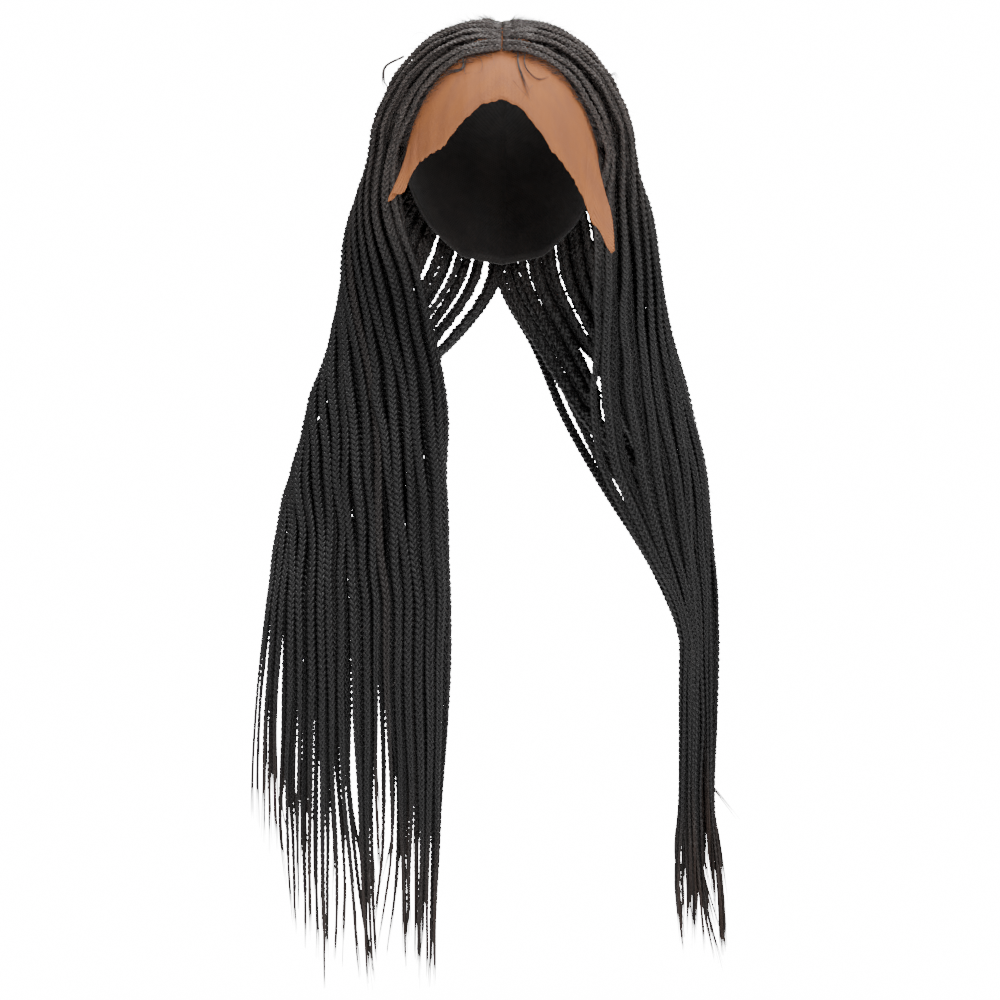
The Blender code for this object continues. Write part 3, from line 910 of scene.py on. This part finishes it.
@dataclass(frozen=True)
class PlaitStyle:
    """How a three-strand braid is plaited, in millimetres and degrees.

    Near the root a braid is thinner and tighter, and it thins again towards its tip.
    """

    reach: float = 2.25
    depth: float = 1.12
    front_radius: float = 1.25
    side_radius: float = 1.7
    period: float = 14.6
    uneven: Tuple[float, float] = (0.94, 1.06)
    samples: int = 7
    samples_below: int = 5
    sides: int = 4
    root_size: float = 0.64
    root_size_below: float = 0.84
    full_size: float = 1.08
    growing: Ramp = Ramp(20.0, 165.0)
    tighter: float = 0.26
    tight_part: Ramp = Ramp(40.0, 170.0)
    thinner: float = 0.55
    thin_length: float = 200.0
    width_part: Tuple[float, float] = (0.5, 0.8)
    brush: Tuple[float, float] = (48.0, 95.0)
    brush_share: float = 0.8
    locks: int = 13
    lock_back: Tuple[float, float] = (8.0, 30.0)
    lock_radius: Tuple[float, float] = (0.8, 1.3)
    lock_stray: Tuple[float, float] = (-0.6, 1.6)
    roll: float = 22.0
    roll_length: Tuple[float, float] = (300.0, 520.0)

    @property
    def half_width(self) -> float:
        """Half the width at which a braid looks closed."""
        return 0.55 * self.reach + 0.8 * self.side_radius


@dataclass(frozen=True)
class Hang:
    """How the braids of a layer stand off its surface and drift, in millimetres unless said.

    The ramps run along the braid, but crown, temple and off_head count stations. The course's fade, the
    calm part and the slits' numbers are in pixels.
    """

    loose: Ramp = Ramp(170.0, 320.0)
    grown: Ramp = Ramp(0.0, 60.0)
    root_level: float = 0.15
    uneven: float = 0.5
    root: Ramp = Ramp(0.0, 16.0)
    root_sink: float = 0.9
    crown: Ramp = Ramp(1.0, 3.0)
    crown_sink: float = 1.3
    temple: Ramp = Ramp(3.5, 5.5)
    temple_sink: float = 1.1
    off_head: Ramp = Ramp(8.0, 11.0)
    edge_lift: float = 0.4
    top_jitter: float = 0.3
    under_jitter: float = 1.3
    course_fade: float = 200.0
    drift: Tuple[float, float] = (0.35, 1.3)
    drifting: Ramp = Ramp(120.0, 420.0)
    waves: Tuple[float, ...] = (330.0, 170.0, 90.0)
    wander: float = 0.7
    front_share: float = 0.6
    calm: float = 0.65
    calm_part: Ramp = Ramp(-60.0, 20.0)
    rough: float = 0.4
    rough_part: Ramp = Ramp(100.0, 170.0)
    ripples: Tuple[float, float] = (24.0, 44.0)
    slit_fade: float = 60.0
    slit_end: float = 8.0
    slit_near: float = 10.0
    slit_steep: float = 16.0
    slit_reach: Ramp = Ramp(12.0, 26.0)


@dataclass
class Curtain:
    """One layer of braids, plaited along the layer's surface."""

    name: str
    node: str
    layer: Layer
    braids: int
    courses: Tuple[Course, ...]
    rows: Tuple[float, float, float]
    style: PlaitStyle
    stagger: float
    shorter: float = 0.0
    gathered: bool = False
    seed: int = 1
    start: float = 0.0
    spread: float = 1.04
    parted: float = 0.0
    crowd: float = 0.1
    outer: bool = True
    view: PhotoView = PhotoView()
    hang: Hang = Hang()
    dense: int = 320
    curves: List[Tuple[Array, Array, float, float]] = field(default_factory=list)

    def course_of(self, index: int, natural: Array) -> Course:
        """Returns the course of a braid, from its number or, in a gathered bundle, from where it shows."""
        order = np.argsort(np.argsort(natural))[index] if self.gathered else index
        at = (order + 0.5) / self.braids * len(self.courses) - 0.5
        numbers = range(len(self.courses))
        return Course(*(float(np.interp(at, numbers, column)) for column in zip(*self.courses)))

    def lines(self) -> None:
        """Works out the middle line, front direction and width of every braid."""
        rng, hang = np.random.default_rng(self.seed), self.hang
        even = (np.arange(self.braids) + 0.5) / self.braids
        across = self.start + (even + self.crowd * even * (1 - even)) * (self.spread - self.start)
        free = self.layer.level(self.view.at_depth(0.0, self.rows[0], FREE_DEPTH)[2])
        natural = self.view.pixels(self.layer.place(across, free))[0]
        for index in range(self.braids):
            course = self.course_of(index, natural)
            jitter = rng.uniform(-1.0, 1.0) * (hang.under_jitter if self.shorter else hang.top_jitter)
            tip_row = course.tip_row - self.shorter * rng.uniform(0.6, 1.4)
            moved, down = self.way_down(float(across[index]), course, tip_row, free)
            line, front = self.layer.place(moved, down), self.layer.normal(moved, down)
            length = run_along(line)
            uneven = rng.uniform(-hang.uneven, hang.uneven)
            line = line + front * self.standing(index, length, down, uneven)[:, None]
            line = self.hang_on_course(line, course, jitter, tip_row)
            line = self.sway(line, front, length, rng)
            line = self.clear_slits(line)
            self.curves.append((line, front, course.width, float(rng.random())))

    def way_down(self, across: float, course: Course, tip_row: float, free: float) -> Tuple[Array, Array]:
        """Finds a braid's way down the layer.

        Args:
            across: Its start, from the face edge (0) to the back edge (1).
            course: Its course in the photograph.
            tip_row: The pixel row of its tip.
            free: The station number at which the free part starts.

        Returns:
            Its shares across the layer, and the station numbers of the same points.
        """
        tip_z = self.view.at_depth(course.tip, tip_row, float(self.layer.sections[-1].mid_y))[2]
        down = np.linspace(0.0, self.layer.level(tip_z), self.dense)
        hung = chest = across
        if not self.gathered:
            grid = np.linspace(0.0, 1.0, 201)
            shown = self.view.pixels(self.layer.place(grid, free))[0]
            rising = np.argsort(shown)
            hung = float(np.interp(course.high, shown[rising], grid[rising]))
            chest = float(np.interp(hung, LEFT_HUNG, LEFT_CHEST))
        ring, breast = len(self.layer.seats) - 1.0, self.layer.level(CHEST_Z)
        moved = across + (chest - across) * smooth(down, ring, breast)
        moved = moved + (hung - chest) * smooth(down, breast, free - 0.2)
        return self.layer.edged(moved, down), down

    def standing(self, index: int, length: Array, down: Array, uneven: float) -> Array:
        """Finds how far a braid stands off the layer's surface.

        Args:
            index: Its number from the face edge: odd braids lie over, and even ones below.
            length: Length run along it, in millimetres.
            down: Station numbers of the same points.
            uneven: A chance step off its level, in millimetres.

        Returns:
            The heights, in millimetres.
        """
        hang = self.hang
        level = (1 if index % 2 else -1) * (self.stagger + self.parted * hang.loose.up(length)) + uneven
        sink = np.zeros_like(length)
        if self.outer:
            sink = hang.root_sink * hang.root.down(length)
            if index % 2 == 0:
                deep = hang.crown_sink * hang.crown.up(down) + hang.temple_sink * hang.temple.up(down)
                sink = sink + deep * hang.off_head.down(down)
            if index == 0:
                level, sink = level * hang.off_head.up(down) + hang.edge_lift, np.zeros_like(length)
        return level * (hang.root_level + (1 - hang.root_level) * hang.grown.up(length)) - sink

    def hang_on_course(self, line: Array, course: Course, jitter: float, tip_row: float) -> Array:
        """Moves a braid sideways onto its course in the free part."""
        row = self.view.pixels(line)[1]
        high, mid, low = self.rows
        knots, spots = [high, mid, low], [course.high, course.mid, course.low]
        if tip_row > low + LEAST_TIP:
            knots += [(low + tip_row) / 2, tip_row]
            spots += [(course.low + course.tip) / 2 + course.bow, course.tip]
        else:
            knots, spots = knots + [low + LEAST_TIP], spots + [course.tip]
        target = curve_through(knots, spots, row) + jitter
        aside = self.view.at_depth(target, row, line[:, 1])[:, 0] - line[:, 0]
        reached = int(np.argmax(row >= high))
        aside[:reached] = aside[reached]
        moved = line.copy()
        moved[:, 0] += smooth(row, high - self.hang.course_fade, high) * aside
        return moved

    def sway(self, line: Array, front: Array, length: Array, rng: np.random.Generator) -> Array:
        """Lets a braid ripple near its root and wander a little from its line further down."""
        hang = self.hang
        row = self.view.pixels(line)[1]
        size = hang.drift[0] + hang.drift[1] * hang.drifting.up(length)
        size = size * (1 - hang.calm * hang.calm_part.up(row - self.rows[0]))
        rough = hang.rough * hang.rough_part.down(length)
        moved = line.copy()
        aside = unit(np.cross(np.gradient(line, axis=0), front))
        for axis, share in ((aside, 1.0), (front, hang.front_share)):
            ripple = length / rng.uniform(*hang.ripples) + rng.random()
            moved += axis * (rough * np.sin(2 * math.pi * ripple))[:, None]
            wave = np.zeros(len(length))
            for span in hang.waves:
                phase = length / span + rng.random()
                wave += math.sqrt(span / hang.waves[0]) * np.sin(2 * math.pi * phase)
            moved += axis * (wave * size * share * hang.wander)[:, None]
        return moved

    def clear_slits(self, line: Array) -> Array:
        """Pushes a braid sideways off the narrow openings that let light through."""
        moved, hang = line.copy(), self.hang
        for slit in SLITS:
            column, row = self.view.pixels(moved)
            share = (row - slit.y0) / (slit.y1 - slit.y0)
            aside = column - (slit.x0 + (slit.x1 - slit.x0) * share)
            beside = aside[(share > 0) & (share < 1)]
            if not len(beside) or np.min(np.abs(beside)) > hang.slit_near or np.ptp(beside) > hang.slit_steep:
                continue
            sign = 1.0 if aside[np.argmin(np.abs(share - 0.5))] >= 0 else -1.0
            need = slit.width / 2 + self.style.half_width / self.view.pixel
            fade = smooth(row, slit.y0 - hang.slit_fade, slit.y0 + hang.slit_end)
            fade = fade * (1 - smooth(row, slit.y1 - hang.slit_end, slit.y1 + hang.slit_fade))
            push = np.maximum(need - sign * aside, 0.0) * fade * hang.slit_reach.down(np.abs(aside))
            moved[:, 0] += sign * push * self.view.scale(moved[:, 1])
        return moved

    def plait(self, soup: Soup, index: int, rng: np.random.Generator) -> None:
        """Plaits one braid into the soup, with the loose hair at its tip."""
        line, front, width, tint = self.curves[index]
        style, over = self.style, index % 2 == 1
        length = run_along(line)
        brush = rng.uniform(*style.brush)
        whole = length[-1] - brush * style.brush_share
        period = style.period * rng.uniform(*style.uneven)
        grid = np.linspace(0.0, whole, 400)
        tight = period * (1.0 - style.tighter * style.tight_part.down(grid))
        turns = np.concatenate([[0.0], np.cumsum((2.0 / (tight[1:] + tight[:-1])) * np.diff(grid))])
        rings = int(turns[-1] * (style.samples if over else style.samples_below)) + 1
        run = np.interp(np.linspace(0.0, turns[-1], rings), turns, grid)
        centre, facing = read_line(run, length, line), read_line(run, length, front)
        along = unit(np.gradient(centre, axis=0))
        facing = unit(facing - dot(facing, along) * along)
        roll = np.sin(2 * math.pi * (run / rng.uniform(*style.roll_length) + rng.random()))
        roll = np.radians(style.roll) * roll
        facing = facing * np.cos(roll)[:, None] + np.cross(along, facing) * np.sin(roll)[:, None]
        aside = np.cross(along, facing)
        least = style.root_size if over else style.root_size_below
        size = least + (style.full_size - least) * style.growing.up(run)
        size = size * (1 + (width - 1.0) * smooth(run, *(whole * share for share in style.width_part)))
        size = size * (1 - style.thinner * smooth(run, whole - style.thin_length, whole))
        turn = 2 * math.pi * (np.interp(run, grid, turns) + rng.random())
        centres, shades = [], []
        for strand in range(3):
            angle = turn + strand * 2 * math.pi / 3
            x, y = style.reach * size * np.sin(angle), -style.depth * size * np.sin(2 * angle)
            centres.append(centre + aside * x[:, None] + facing * y[:, None])
            shades.append(shade_of(run / length[-1], tint, rng.random()))
        wide = np.broadcast_to(size, (3, rings))
        fronts = np.broadcast_to(facing, (3, rings, 3))
        soup.tubes(np.array(centres), fronts, wide * style.front_radius, wide * style.side_radius,
                   style.sides, np.array(shades))
        self.brush(soup, index, length, whole, float(size[-1]), rng)

    def brush(self, soup: Soup, index: int, length: Array, whole: float, size: float,
              rng: np.random.Generator) -> None:
        """Adds the loose tapering hair beyond the end of a plait.

        Args:
            soup: Where the hair goes.
            index: The braid's number.
            length: Length run along the braid's line.
            whole: Where the plait ends, along the line.
            size: The plait's size at its end.
            rng: The source of chance.
        """
        line, front, _, tint = self.curves[index]
        style, locks, rings = self.style, self.style.locks, 9
        start = whole - rng.uniform(*style.lock_back, locks)
        stop = whole + (length[-1] - whole) * rng.uniform(0.5, 1.0, locks)
        stop[0] = length[-1]
        share = np.linspace(0.0, 1.0, rings)[None, :]
        run = start[:, None] + (stop - start)[:, None] * share
        centre, facing = read_line(run, length, line), read_line(run, length, front)
        turn = rng.uniform(0, 2 * math.pi, locks)
        stray = rng.uniform(*style.lock_stray, locks)[:, None]
        spread = 1.5 * size * (1 - 0.5 * share) + stray * share ** 1.5
        aside = np.cross(unit(np.gradient(centre, axis=1)), facing)
        centre = centre + aside * (np.cos(turn)[:, None] * spread)[..., None]
        centre = centre + facing * (np.sin(turn)[:, None] * spread)[..., None]
        radius = rng.uniform(*style.lock_radius, locks)[:, None] * (1 - share) ** 0.9 + 0.12
        radius = radius * (0.45 + 0.75 * size)
        shade = shade_of(run / length[-1], tint, rng.random(locks)[:, None])
        soup.tubes(centre, facing, radius, radius, 3, shade)

    def build(self, material: bpy.types.Material) -> List[bpy.types.Object]:
        """Builds the layer's pieces: the braids that lie over, and those that lie below, in two meshes."""
        self.lines()
        rng = np.random.default_rng(self.seed + 100)
        over, below = Soup(), Soup()
        for index in range(self.braids):
            self.plait(over if index % 2 else below, index, rng)
        pieces = [over.make(f"{self.name}_over", material), below.make(f"{self.name}_below", material)]
        for piece in pieces:
            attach(piece, BODY)
            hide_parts(self.node)
        return pieces


def cap_polar(azimuth: Array) -> Array:
    """Returns the polar angle at which the cap ends, at azimuths in degrees."""
    return np.interp(np.abs(azimuth), *zip(*CAP_EDGE))


def cloth_of(turn: Array, polar: Array, fall: Array, head: Head) -> Array:
    """Returns flat cloth coordinates in millimetres, from angles in degrees and the length run down."""
    around = np.radians(turn) * np.sin(np.radians(polar)) * head.half_width
    return np.stack([around, fall, np.zeros_like(fall)], -1)


@dataclass
class NetCap:
    """The net cap, with a firmer band round its hem, in millimetres and degrees."""

    wall: float = 0.7
    firmer: float = 0.7
    columns: int = 144
    rings: int = 40
    band: float = 7.0
    top: float = 1.2
    parting_wide: float = 5.0
    parting_down: float = 60.0
    head: Head = Head()

    def build(self, material: bpy.types.Material) -> bpy.types.Object:
        """Builds the cap over its solid."""
        turn = np.linspace(-180.0, 180.0, self.columns, endpoint=False)[:, None]
        share = np.linspace(0.0, 1.0, self.rings)[None, :]
        polar = self.top + (cap_polar(turn) - self.top) * share
        way = direction(turn, polar)
        fall = fall_of(self.head.surface(way, np.full(polar.shape, 0.5)))
        left = fall[:, -1:] - fall
        thick = self.wall + self.firmer * (1 - smooth(left, self.band - 1.5, self.band))
        openness = smooth(left, self.band - 0.8, self.band)
        parting = (np.abs(turn) < self.parting_wide) * (polar < self.parting_down) * 1.0
        shade = np.stack([openness * (1 - parting), parting, np.zeros_like(fall)], -1)
        outer = self.head.surface(way, 0.4 + thick)
        inner = self.head.surface(way, np.full(polar.shape, 0.3))
        soup = Soup()
        soup.sheet(outer, inner, cloth_of(turn, polar, fall, self.head), shade, around=True)
        piece = soup.make("cap_net", material)
        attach(piece, BODY)
        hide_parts("cap")
        return piece


@dataclass
class LaceFront:
    """The sheer lace from ear to ear, cut by hand along the forehead, with a tab before each ear.

    Sizes are in millimetres and angles in degrees. A nick has a size, waves for each degree and a phase.
    """

    columns: int = 229
    rows: int = 30
    reach: float = 76.0
    wall: float = 0.45
    lining: float = 0.3
    gap: float = 0.8
    wave: float = 0.35
    nicks: Tuple[Tuple[float, float, float], ...] = ((0.22, 1.3, 0.7), (0.12, 4.3, 0.0), (0.07, 11.1, 2.0))
    frayed: float = 1.5
    frayed_part: Ramp = Ramp(60.0, 64.0)
    even_from: float = 71.0
    head: Head = Head()

    def shape(self, lift: float) -> Tuple[Array, Array]:
        """Returns the points at a lift off the head, and the flat cloth coordinates."""
        turn = np.linspace(-self.reach, self.reach, self.columns)[:, None]
        share = np.linspace(0.0, 1.0, self.rows)[None, :]
        around, ends, flares = zip(*LACE_EDGE)
        end, flare = np.interp(turn, around, ends), np.interp(turn, around, flares)
        nick = sum(size * np.sin(turn * often + phase) for size, often, phase in self.nicks)
        nick = nick + self.frayed * np.sin(turn * 8.3) * self.frayed_part.up(np.abs(turn))
        start = cap_polar(turn) + self.gap
        polar = start + (end + nick * (np.abs(turn) < self.even_from) - start) * share
        crease = self.wave * share ** 2 * (np.sin(turn * 0.55 + 1.3) + np.sin(turn * 0.21))
        height = flare * share ** 2 + crease + lift + self.wave * 1.2
        points = self.head.surface(direction(turn, polar), height)
        return points, cloth_of(turn, polar, fall_of(points), self.head)

    def build(self, material: bpy.types.Material) -> bpy.types.Object:
        outer, cloth = self.shape(self.lining + self.wall)
        inner = self.shape(self.lining)[0]
        shade = np.zeros_like(outer) + np.array([1.0, 0.0, 0.0])
        soup = Soup()
        soup.sheet(outer, inner, cloth, shade)
        piece = soup.make("lace_sheer", material)
        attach(piece, BODY)
        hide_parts("lace_front")
        return piece


@dataclass
class LooseHair:
    """Hair that isn't plaited: combed roots, the hairline's fringe, baby hairs and frizz."""

    tops: Tuple[Curtain, ...]
    view: PhotoView = PhotoView()
    head: Head = Head()
    root_hairs: int = 7
    fringe_hairs: int = 320
    frizz_hairs: int = 3200
    tuft: int = 40
    seed: int = 7

    def combed_roots(self) -> Soup:
        """Returns the hair that runs from the part into the start of each top braid."""
        rng, soup = np.random.default_rng(self.seed), Soup()
        count, share = self.root_hairs, np.linspace(0, 1, 7)[None, :]
        for curtain in self.tops:
            for line, front, _, tint in curtain.curves:
                length = run_along(line)
                stop = rng.uniform(3.5, 10.0, count)[:, None]
                run = stop * share - rng.uniform(0.2, 0.9, count)[:, None] * (1 - share)
                centre, facing = read_line(run, length, line), read_line(run, length, front)
                centre = centre + unit(line[1] - line[0]) * np.minimum(run, 0.0)[..., None]
                aside = np.cross(unit(np.gradient(centre, axis=1)), facing)
                fan = rng.uniform(-3.4, 3.4, count)[:, None] * (1 - 0.45 * share)
                rise = 0.4 + 1.3 * np.sin(math.pi * share ** 0.7) * rng.uniform(0.7, 1.1, count)[:, None]
                centre = centre + aside * fan[..., None] + facing * rise[..., None]
                radius = 0.42 * (1 - 0.6 * share) * rng.uniform(0.7, 1.2, count)[:, None]
                shade = shade_of(share * 0.05 + 0 * run, tint, rng.random(count)[:, None])
                soup.tubes(centre, facing, radius, radius, 3, shade)
        return soup

    def fringe(self) -> Soup:
        """Returns the short fine hairs tied along the hairline, swept into the first braids."""
        rng, soup = np.random.default_rng(self.seed + 1), Soup()
        count, share = self.fringe_hairs // 2, np.linspace(0, 1, 6)[None, :]
        for curtain in self.tops:
            layer = curtain.layer
            start = rng.uniform(0.4, len(layer.seats) - 0.6, count)[:, None]
            down = start + rng.uniform(0.25, 0.7, count)[:, None] * share
            across = layer.edged(0.012 + 0.03 * rng.uniform(-1.0, 1.0, count)[:, None], down)
            base, front = layer.place(across, down), layer.normal(across, down)
            aside = np.cross(front, unit(np.gradient(base, axis=1))) * layer.side.value
            forward = (1 - share) ** 1.4 * rng.uniform(0.3, 2.6, count)[:, None] + 0.5
            sink = (1 - share) * np.maximum(self.head.height(base) - 1.6, 0.0)
            centre = base - aside * forward[..., None] - self.head.outward(base) * sink[..., None]
            radius = 0.12 * np.sin(math.pi * (0.12 + 0.86 * share)) + 0.03
            radius = radius * rng.uniform(0.7, 1.3, count)[:, None]
            shade = shade_of(np.zeros(down.shape), LOOSE_TINT, rng.random(count)[:, None])
            soup.tubes(centre, front, radius, radius, 3, shade)
        return soup

    def baby_hairs(self) -> Soup:
        """Returns the curls and single hairs that lie on the lace or stand off the crown."""
        rng, soup = np.random.default_rng(self.seed + 3), Soup()
        for strand in LOOSE_STRANDS + FLYAWAYS:
            pixels = np.array(strand.pixels, float)
            at = np.linspace(0, len(pixels) - 1, 26)
            column, row = (curve_through(range(len(pixels)), pixels[:, axis], at) for axis in (0, 1))
            if strand in LOOSE_STRANDS:
                line = self.view.on_head(column, row, self.head, strand.lift)
            else:
                line = self.view.at_depth(column, row, np.full_like(column, strand.lift))
            share = at / at[-1]
            front = np.array([0.0, -1.0, 0.2]) + 0 * line
            aside = np.cross(unit(np.gradient(line, axis=0)), front)
            shade = shade_of(np.zeros_like(at), LOOSE_TINT, LOOSE_MARK)
            for number in range(strand.hairs):
                drift = rng.uniform(-1, 1, 2) * strand.radius * 3.2
                stray = rng.uniform(-1, 1) * 1.6 * share ** 2
                hair = line + aside * (drift[0] * (0.35 + 0.65 * share) + stray)[:, None]
                hair = hair + front * (drift[1] * 0.5 * share)[:, None]
                last = max(8, int(len(at) * rng.uniform(0.7, 1.0))) if number else len(at)
                radius = strand.radius * (1 - 0.8 * share[:last] * at[-1] / at[last - 1])
                soup.tubes(hair[None, :last], front[None, :last], radius[None], radius[None], 3,
                           shade[None, :last])
        return soup

    def frizz(self) -> Soup:
        """Returns short fine hairs that stand off the braids, most of all near the crown."""
        rng, soup = np.random.default_rng(self.seed + 2), Soup()
        count, share = self.tuft, np.linspace(0, 1, 4)[None, :, None]
        for curtain in self.tops:
            for _ in range(self.frizz_hairs // len(self.tops) // count):
                line, front, _, _ = curtain.curves[int(rng.integers(len(curtain.curves)))]
                low = rng.random(count) ** 2.4 * (len(line) - 40)
                index = low.astype(int) + 5
                along = unit(line[index + 1] - line[index])
                aside = np.cross(along, front[index]) * rng.choice([-1.0, 1.0], count)[:, None]
                out = front[index] * rng.uniform(0.1, 1.0, count)[:, None]
                out = out + aside * rng.random(count)[:, None]
                reach = rng.uniform(3.0, 9.0, count)[:, None, None]
                stand = rng.uniform(2.4, 5.6, count)[:, None, None]
                centre = line[index][:, None] + along[:, None] * reach * share
                centre = centre + unit(out)[:, None] * (1.2 + stand * share ** 1.5)
                radius = np.broadcast_to(0.17 * (1 - 0.7 * share[..., 0]), centre.shape[:2])
                facing = np.broadcast_to(front[index][:, None], centre.shape)
                # At 0.1 along, the frizz takes the full root tone: partly brown, partly painted sheen, with
                # painted highlight specks.
                shade = shade_of(np.full(centre.shape[:2], 0.1), LOOSE_TINT, LOOSE_MARK)
                soup.tubes(centre, facing, radius, radius, 3, shade)
        return soup

    def build(self, material: bpy.types.Material) -> None:
        """Builds every kind of loose hair as a piece of its own."""
        for name, soup in (("combed_roots", self.combed_roots()), ("hairline_fringe", self.fringe()),
                           ("baby_hairs", self.baby_hairs()), ("frizz", self.frizz())):
            piece = soup.make(name, material)
            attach(piece, BODY)


@dataclass(frozen=True)
class Lamp:
    """A soft studio light: its place, its aim, its size in metres and its power."""

    name: str
    place: Tuple[float, float, float]
    aim: Tuple[float, float, float]
    size: float
    power: float


@dataclass
class Studio:
    """The pale floor, the soft light and the camera."""

    view: PhotoView = PhotoView()
    floor_height: float = -1.15
    floor_reach: float = 3.0
    world_white: float = 16.0
    world_fill: float = 0.12
    lamps: Tuple[Lamp, ...] = (
        Lamp("key", (0.7, -2.3, 0.7), (0.0, 0.0, -0.3), 1.0, 38.0),
        Lamp("fill", (-1.9, -1.5, 0.0), (0.0, 0.0, -0.35), 1.3, 20.0),
        Lamp("crown", (0.0, 0.1, 1.5), (0.0, 0.0, -0.15), 1.0, 40.0),
        Lamp("side", (1.1, -0.5, 0.9), (0.13, 0.0, -0.15), 0.7, 17.0),
        Lamp("back", (0.5, 2.2, 0.5), (0.0, 0.0, -0.35), 1.6, 30.0),
    )

    def floor(self) -> None:
        """Adds the floor, which fades out towards its rim."""
        material, graph, shader = new_material("floor_pale")
        where = graph.add("ShaderNodeTexCoord")
        length = graph.add("ShaderNodeVectorMath", operation="LENGTH")
        graph.join(where.outputs["Object"], length.inputs[0])
        rim = (self.floor_reach * 0.35, self.floor_reach * 0.95)
        fade = graph.span(length.outputs["Value"], rim, (1.0, 0.0))
        graph.join(fade, shader.inputs["Alpha"])
        tone = graph.noise(where.outputs["Object"], 3.0, 2.0)
        graph.join(graph.mix(tone, (0.86, 0.86, 0.86, 1), (0.9, 0.9, 0.9, 1)), shader.inputs["Base Color"])
        shader.inputs["Roughness"].default_value = 0.8
        shader.inputs["Emission Color"].default_value = (1, 1, 1, 1)
        shader.inputs["Emission Strength"].default_value = 1.2
        reach = self.floor_reach
        corners = [(-reach, -reach, 0), (reach, -reach, 0), (reach, reach, 0), (-reach, reach, 0)]
        mesh = bpy.data.meshes.new("floor")
        mesh.from_pydata(corners, [], [(0, 1, 2, 3)])
        mesh.materials.append(material)
        plane = bpy.data.objects.new("floor", mesh)
        plane.location = (0, 0, self.floor_height)
        bpy.context.scene.collection.objects.link(plane)

    def light(self) -> None:
        """Adds the lamps and the white surroundings."""
        for lamp in self.lamps:
            data = bpy.data.lights.new(lamp.name, "AREA")
            data.shape, data.size, data.energy = "DISK", lamp.size, lamp.power
            made = bpy.data.objects.new(lamp.name, data)
            made.location = lamp.place
            aim = np.array(lamp.aim) - np.array(lamp.place)
            flat = math.hypot(aim[0], aim[1])
            turn = math.atan2(aim[1], aim[0]) - math.pi / 2
            made.rotation_euler = (math.atan2(flat, -aim[2]), 0.0, turn)
            made.visible_camera = False
            bpy.context.scene.collection.objects.link(made)
        world = bpy.data.worlds.new("studio")
        world.use_nodes = True
        bpy.context.scene.world = world
        graph = Graph(world.node_tree)
        back = world.node_tree.nodes["Background"]
        back.inputs["Color"].default_value = (1, 1, 1, 1)
        path = graph.add("ShaderNodeLightPath")
        strength = graph.span(path.outputs["Is Camera Ray"], (0.0, 1.0), (self.world_fill, self.world_white))
        graph.join(strength, back.inputs["Strength"])

    def camera(self) -> None:
        """Adds the camera at the photograph's place."""
        data = bpy.data.cameras.new("photo_camera")
        data.lens, data.sensor_width = self.view.lens, 36.0
        data.clip_start, data.clip_end = 0.1, 30.0
        made = bpy.data.objects.new("photo_camera", data)
        made.location = (self.view.eye_x * MM, self.view.eye_y * MM, self.view.eye_z * MM)
        made.rotation_euler = (math.pi / 2, 0.0, 0.0)
        bpy.context.scene.collection.objects.link(made)
        bpy.context.scene.camera = made

    def build(self) -> None:
        """Builds the floor, the light and the camera."""
        self.floor()
        self.light()
        self.camera()


def main() -> None:
    """Builds the wig's looks and the studio."""
    logging.basicConfig(level=logging.INFO, format="%(name)s %(message)s")
    fibres, net = fibre_group(), net_group()
    hair = HairFinish("braid_hair").build(fibres)
    loose = HairFinish("loose_hair", roughness=0.5, sheen=0.1).build(fibres)
    cap_cloth = NetFinish("cap_net", thread=(0.016, 0.013, 0.012, 1), shadow=(0.01, 0.008, 0.008, 1),
                          pitch=1.6, opening=0.9, clear=0.05).build(net)
    lace_cloth = NetFinish("lace", thread=(0.46, 0.175, 0.07, 1), shadow=(0.4, 0.158, 0.076, 1), pitch=1.0,
                           opening=1.1, clear=0.8, roughness=0.75, sheen=0.0, specular=0.1).build(net)
    top = PlaitStyle()
    under = PlaitStyle(sides=3, samples=4, samples_below=4, locks=6, front_radius=1.5, side_radius=1.95,
                       period=15.0, tighter=0.0, root_size=0.84)
    left_rows, right_rows = (600.0, 700.0, 780.0), (640.0, 730.0, 800.0)
    left = Curtain(
        "left_top", "left_top_braids", Layer(Side.LEFT, TOP_SEATS, LEFT_TOP, HAIRLINE), 36, LEFT_COURSES,
        left_rows, top, stagger=1.9, seed=11, parted=0.9)
    right = Curtain(
        "right_top", "right_top_braids", Layer(Side.RIGHT, TOP_SEATS, RIGHT_TOP, HAIRLINE), 36, RIGHT_COURSES,
        right_rows, top, stagger=1.9, gathered=True, seed=12, parted=0.5)
    left_under = Curtain(
        "left_under", "left_under_braids", Layer(Side.LEFT, UNDER_SEATS, LEFT_UNDER), 34, LEFT_COURSES,
        left_rows, under, stagger=1.6, shorter=62.0, seed=13, start=0.07, crowd=0.3, outer=False)
    right_under = Curtain(
        "right_under", "right_under_braids", Layer(Side.RIGHT, UNDER_SEATS, RIGHT_UNDER), 34, RIGHT_COURSES,
        right_rows, under, stagger=1.5, shorter=40.0, gathered=True, seed=14, start=0.07, crowd=0.3,
        outer=False)
    NetCap().build(cap_cloth)
    LaceFront().build(lace_cloth)
    for curtain in (left_under, right_under, left, right):
        curtain.build(hair)
    LooseHair((left, right)).build(loose)
    Studio().build()


if __name__ == "__main__":
    main()
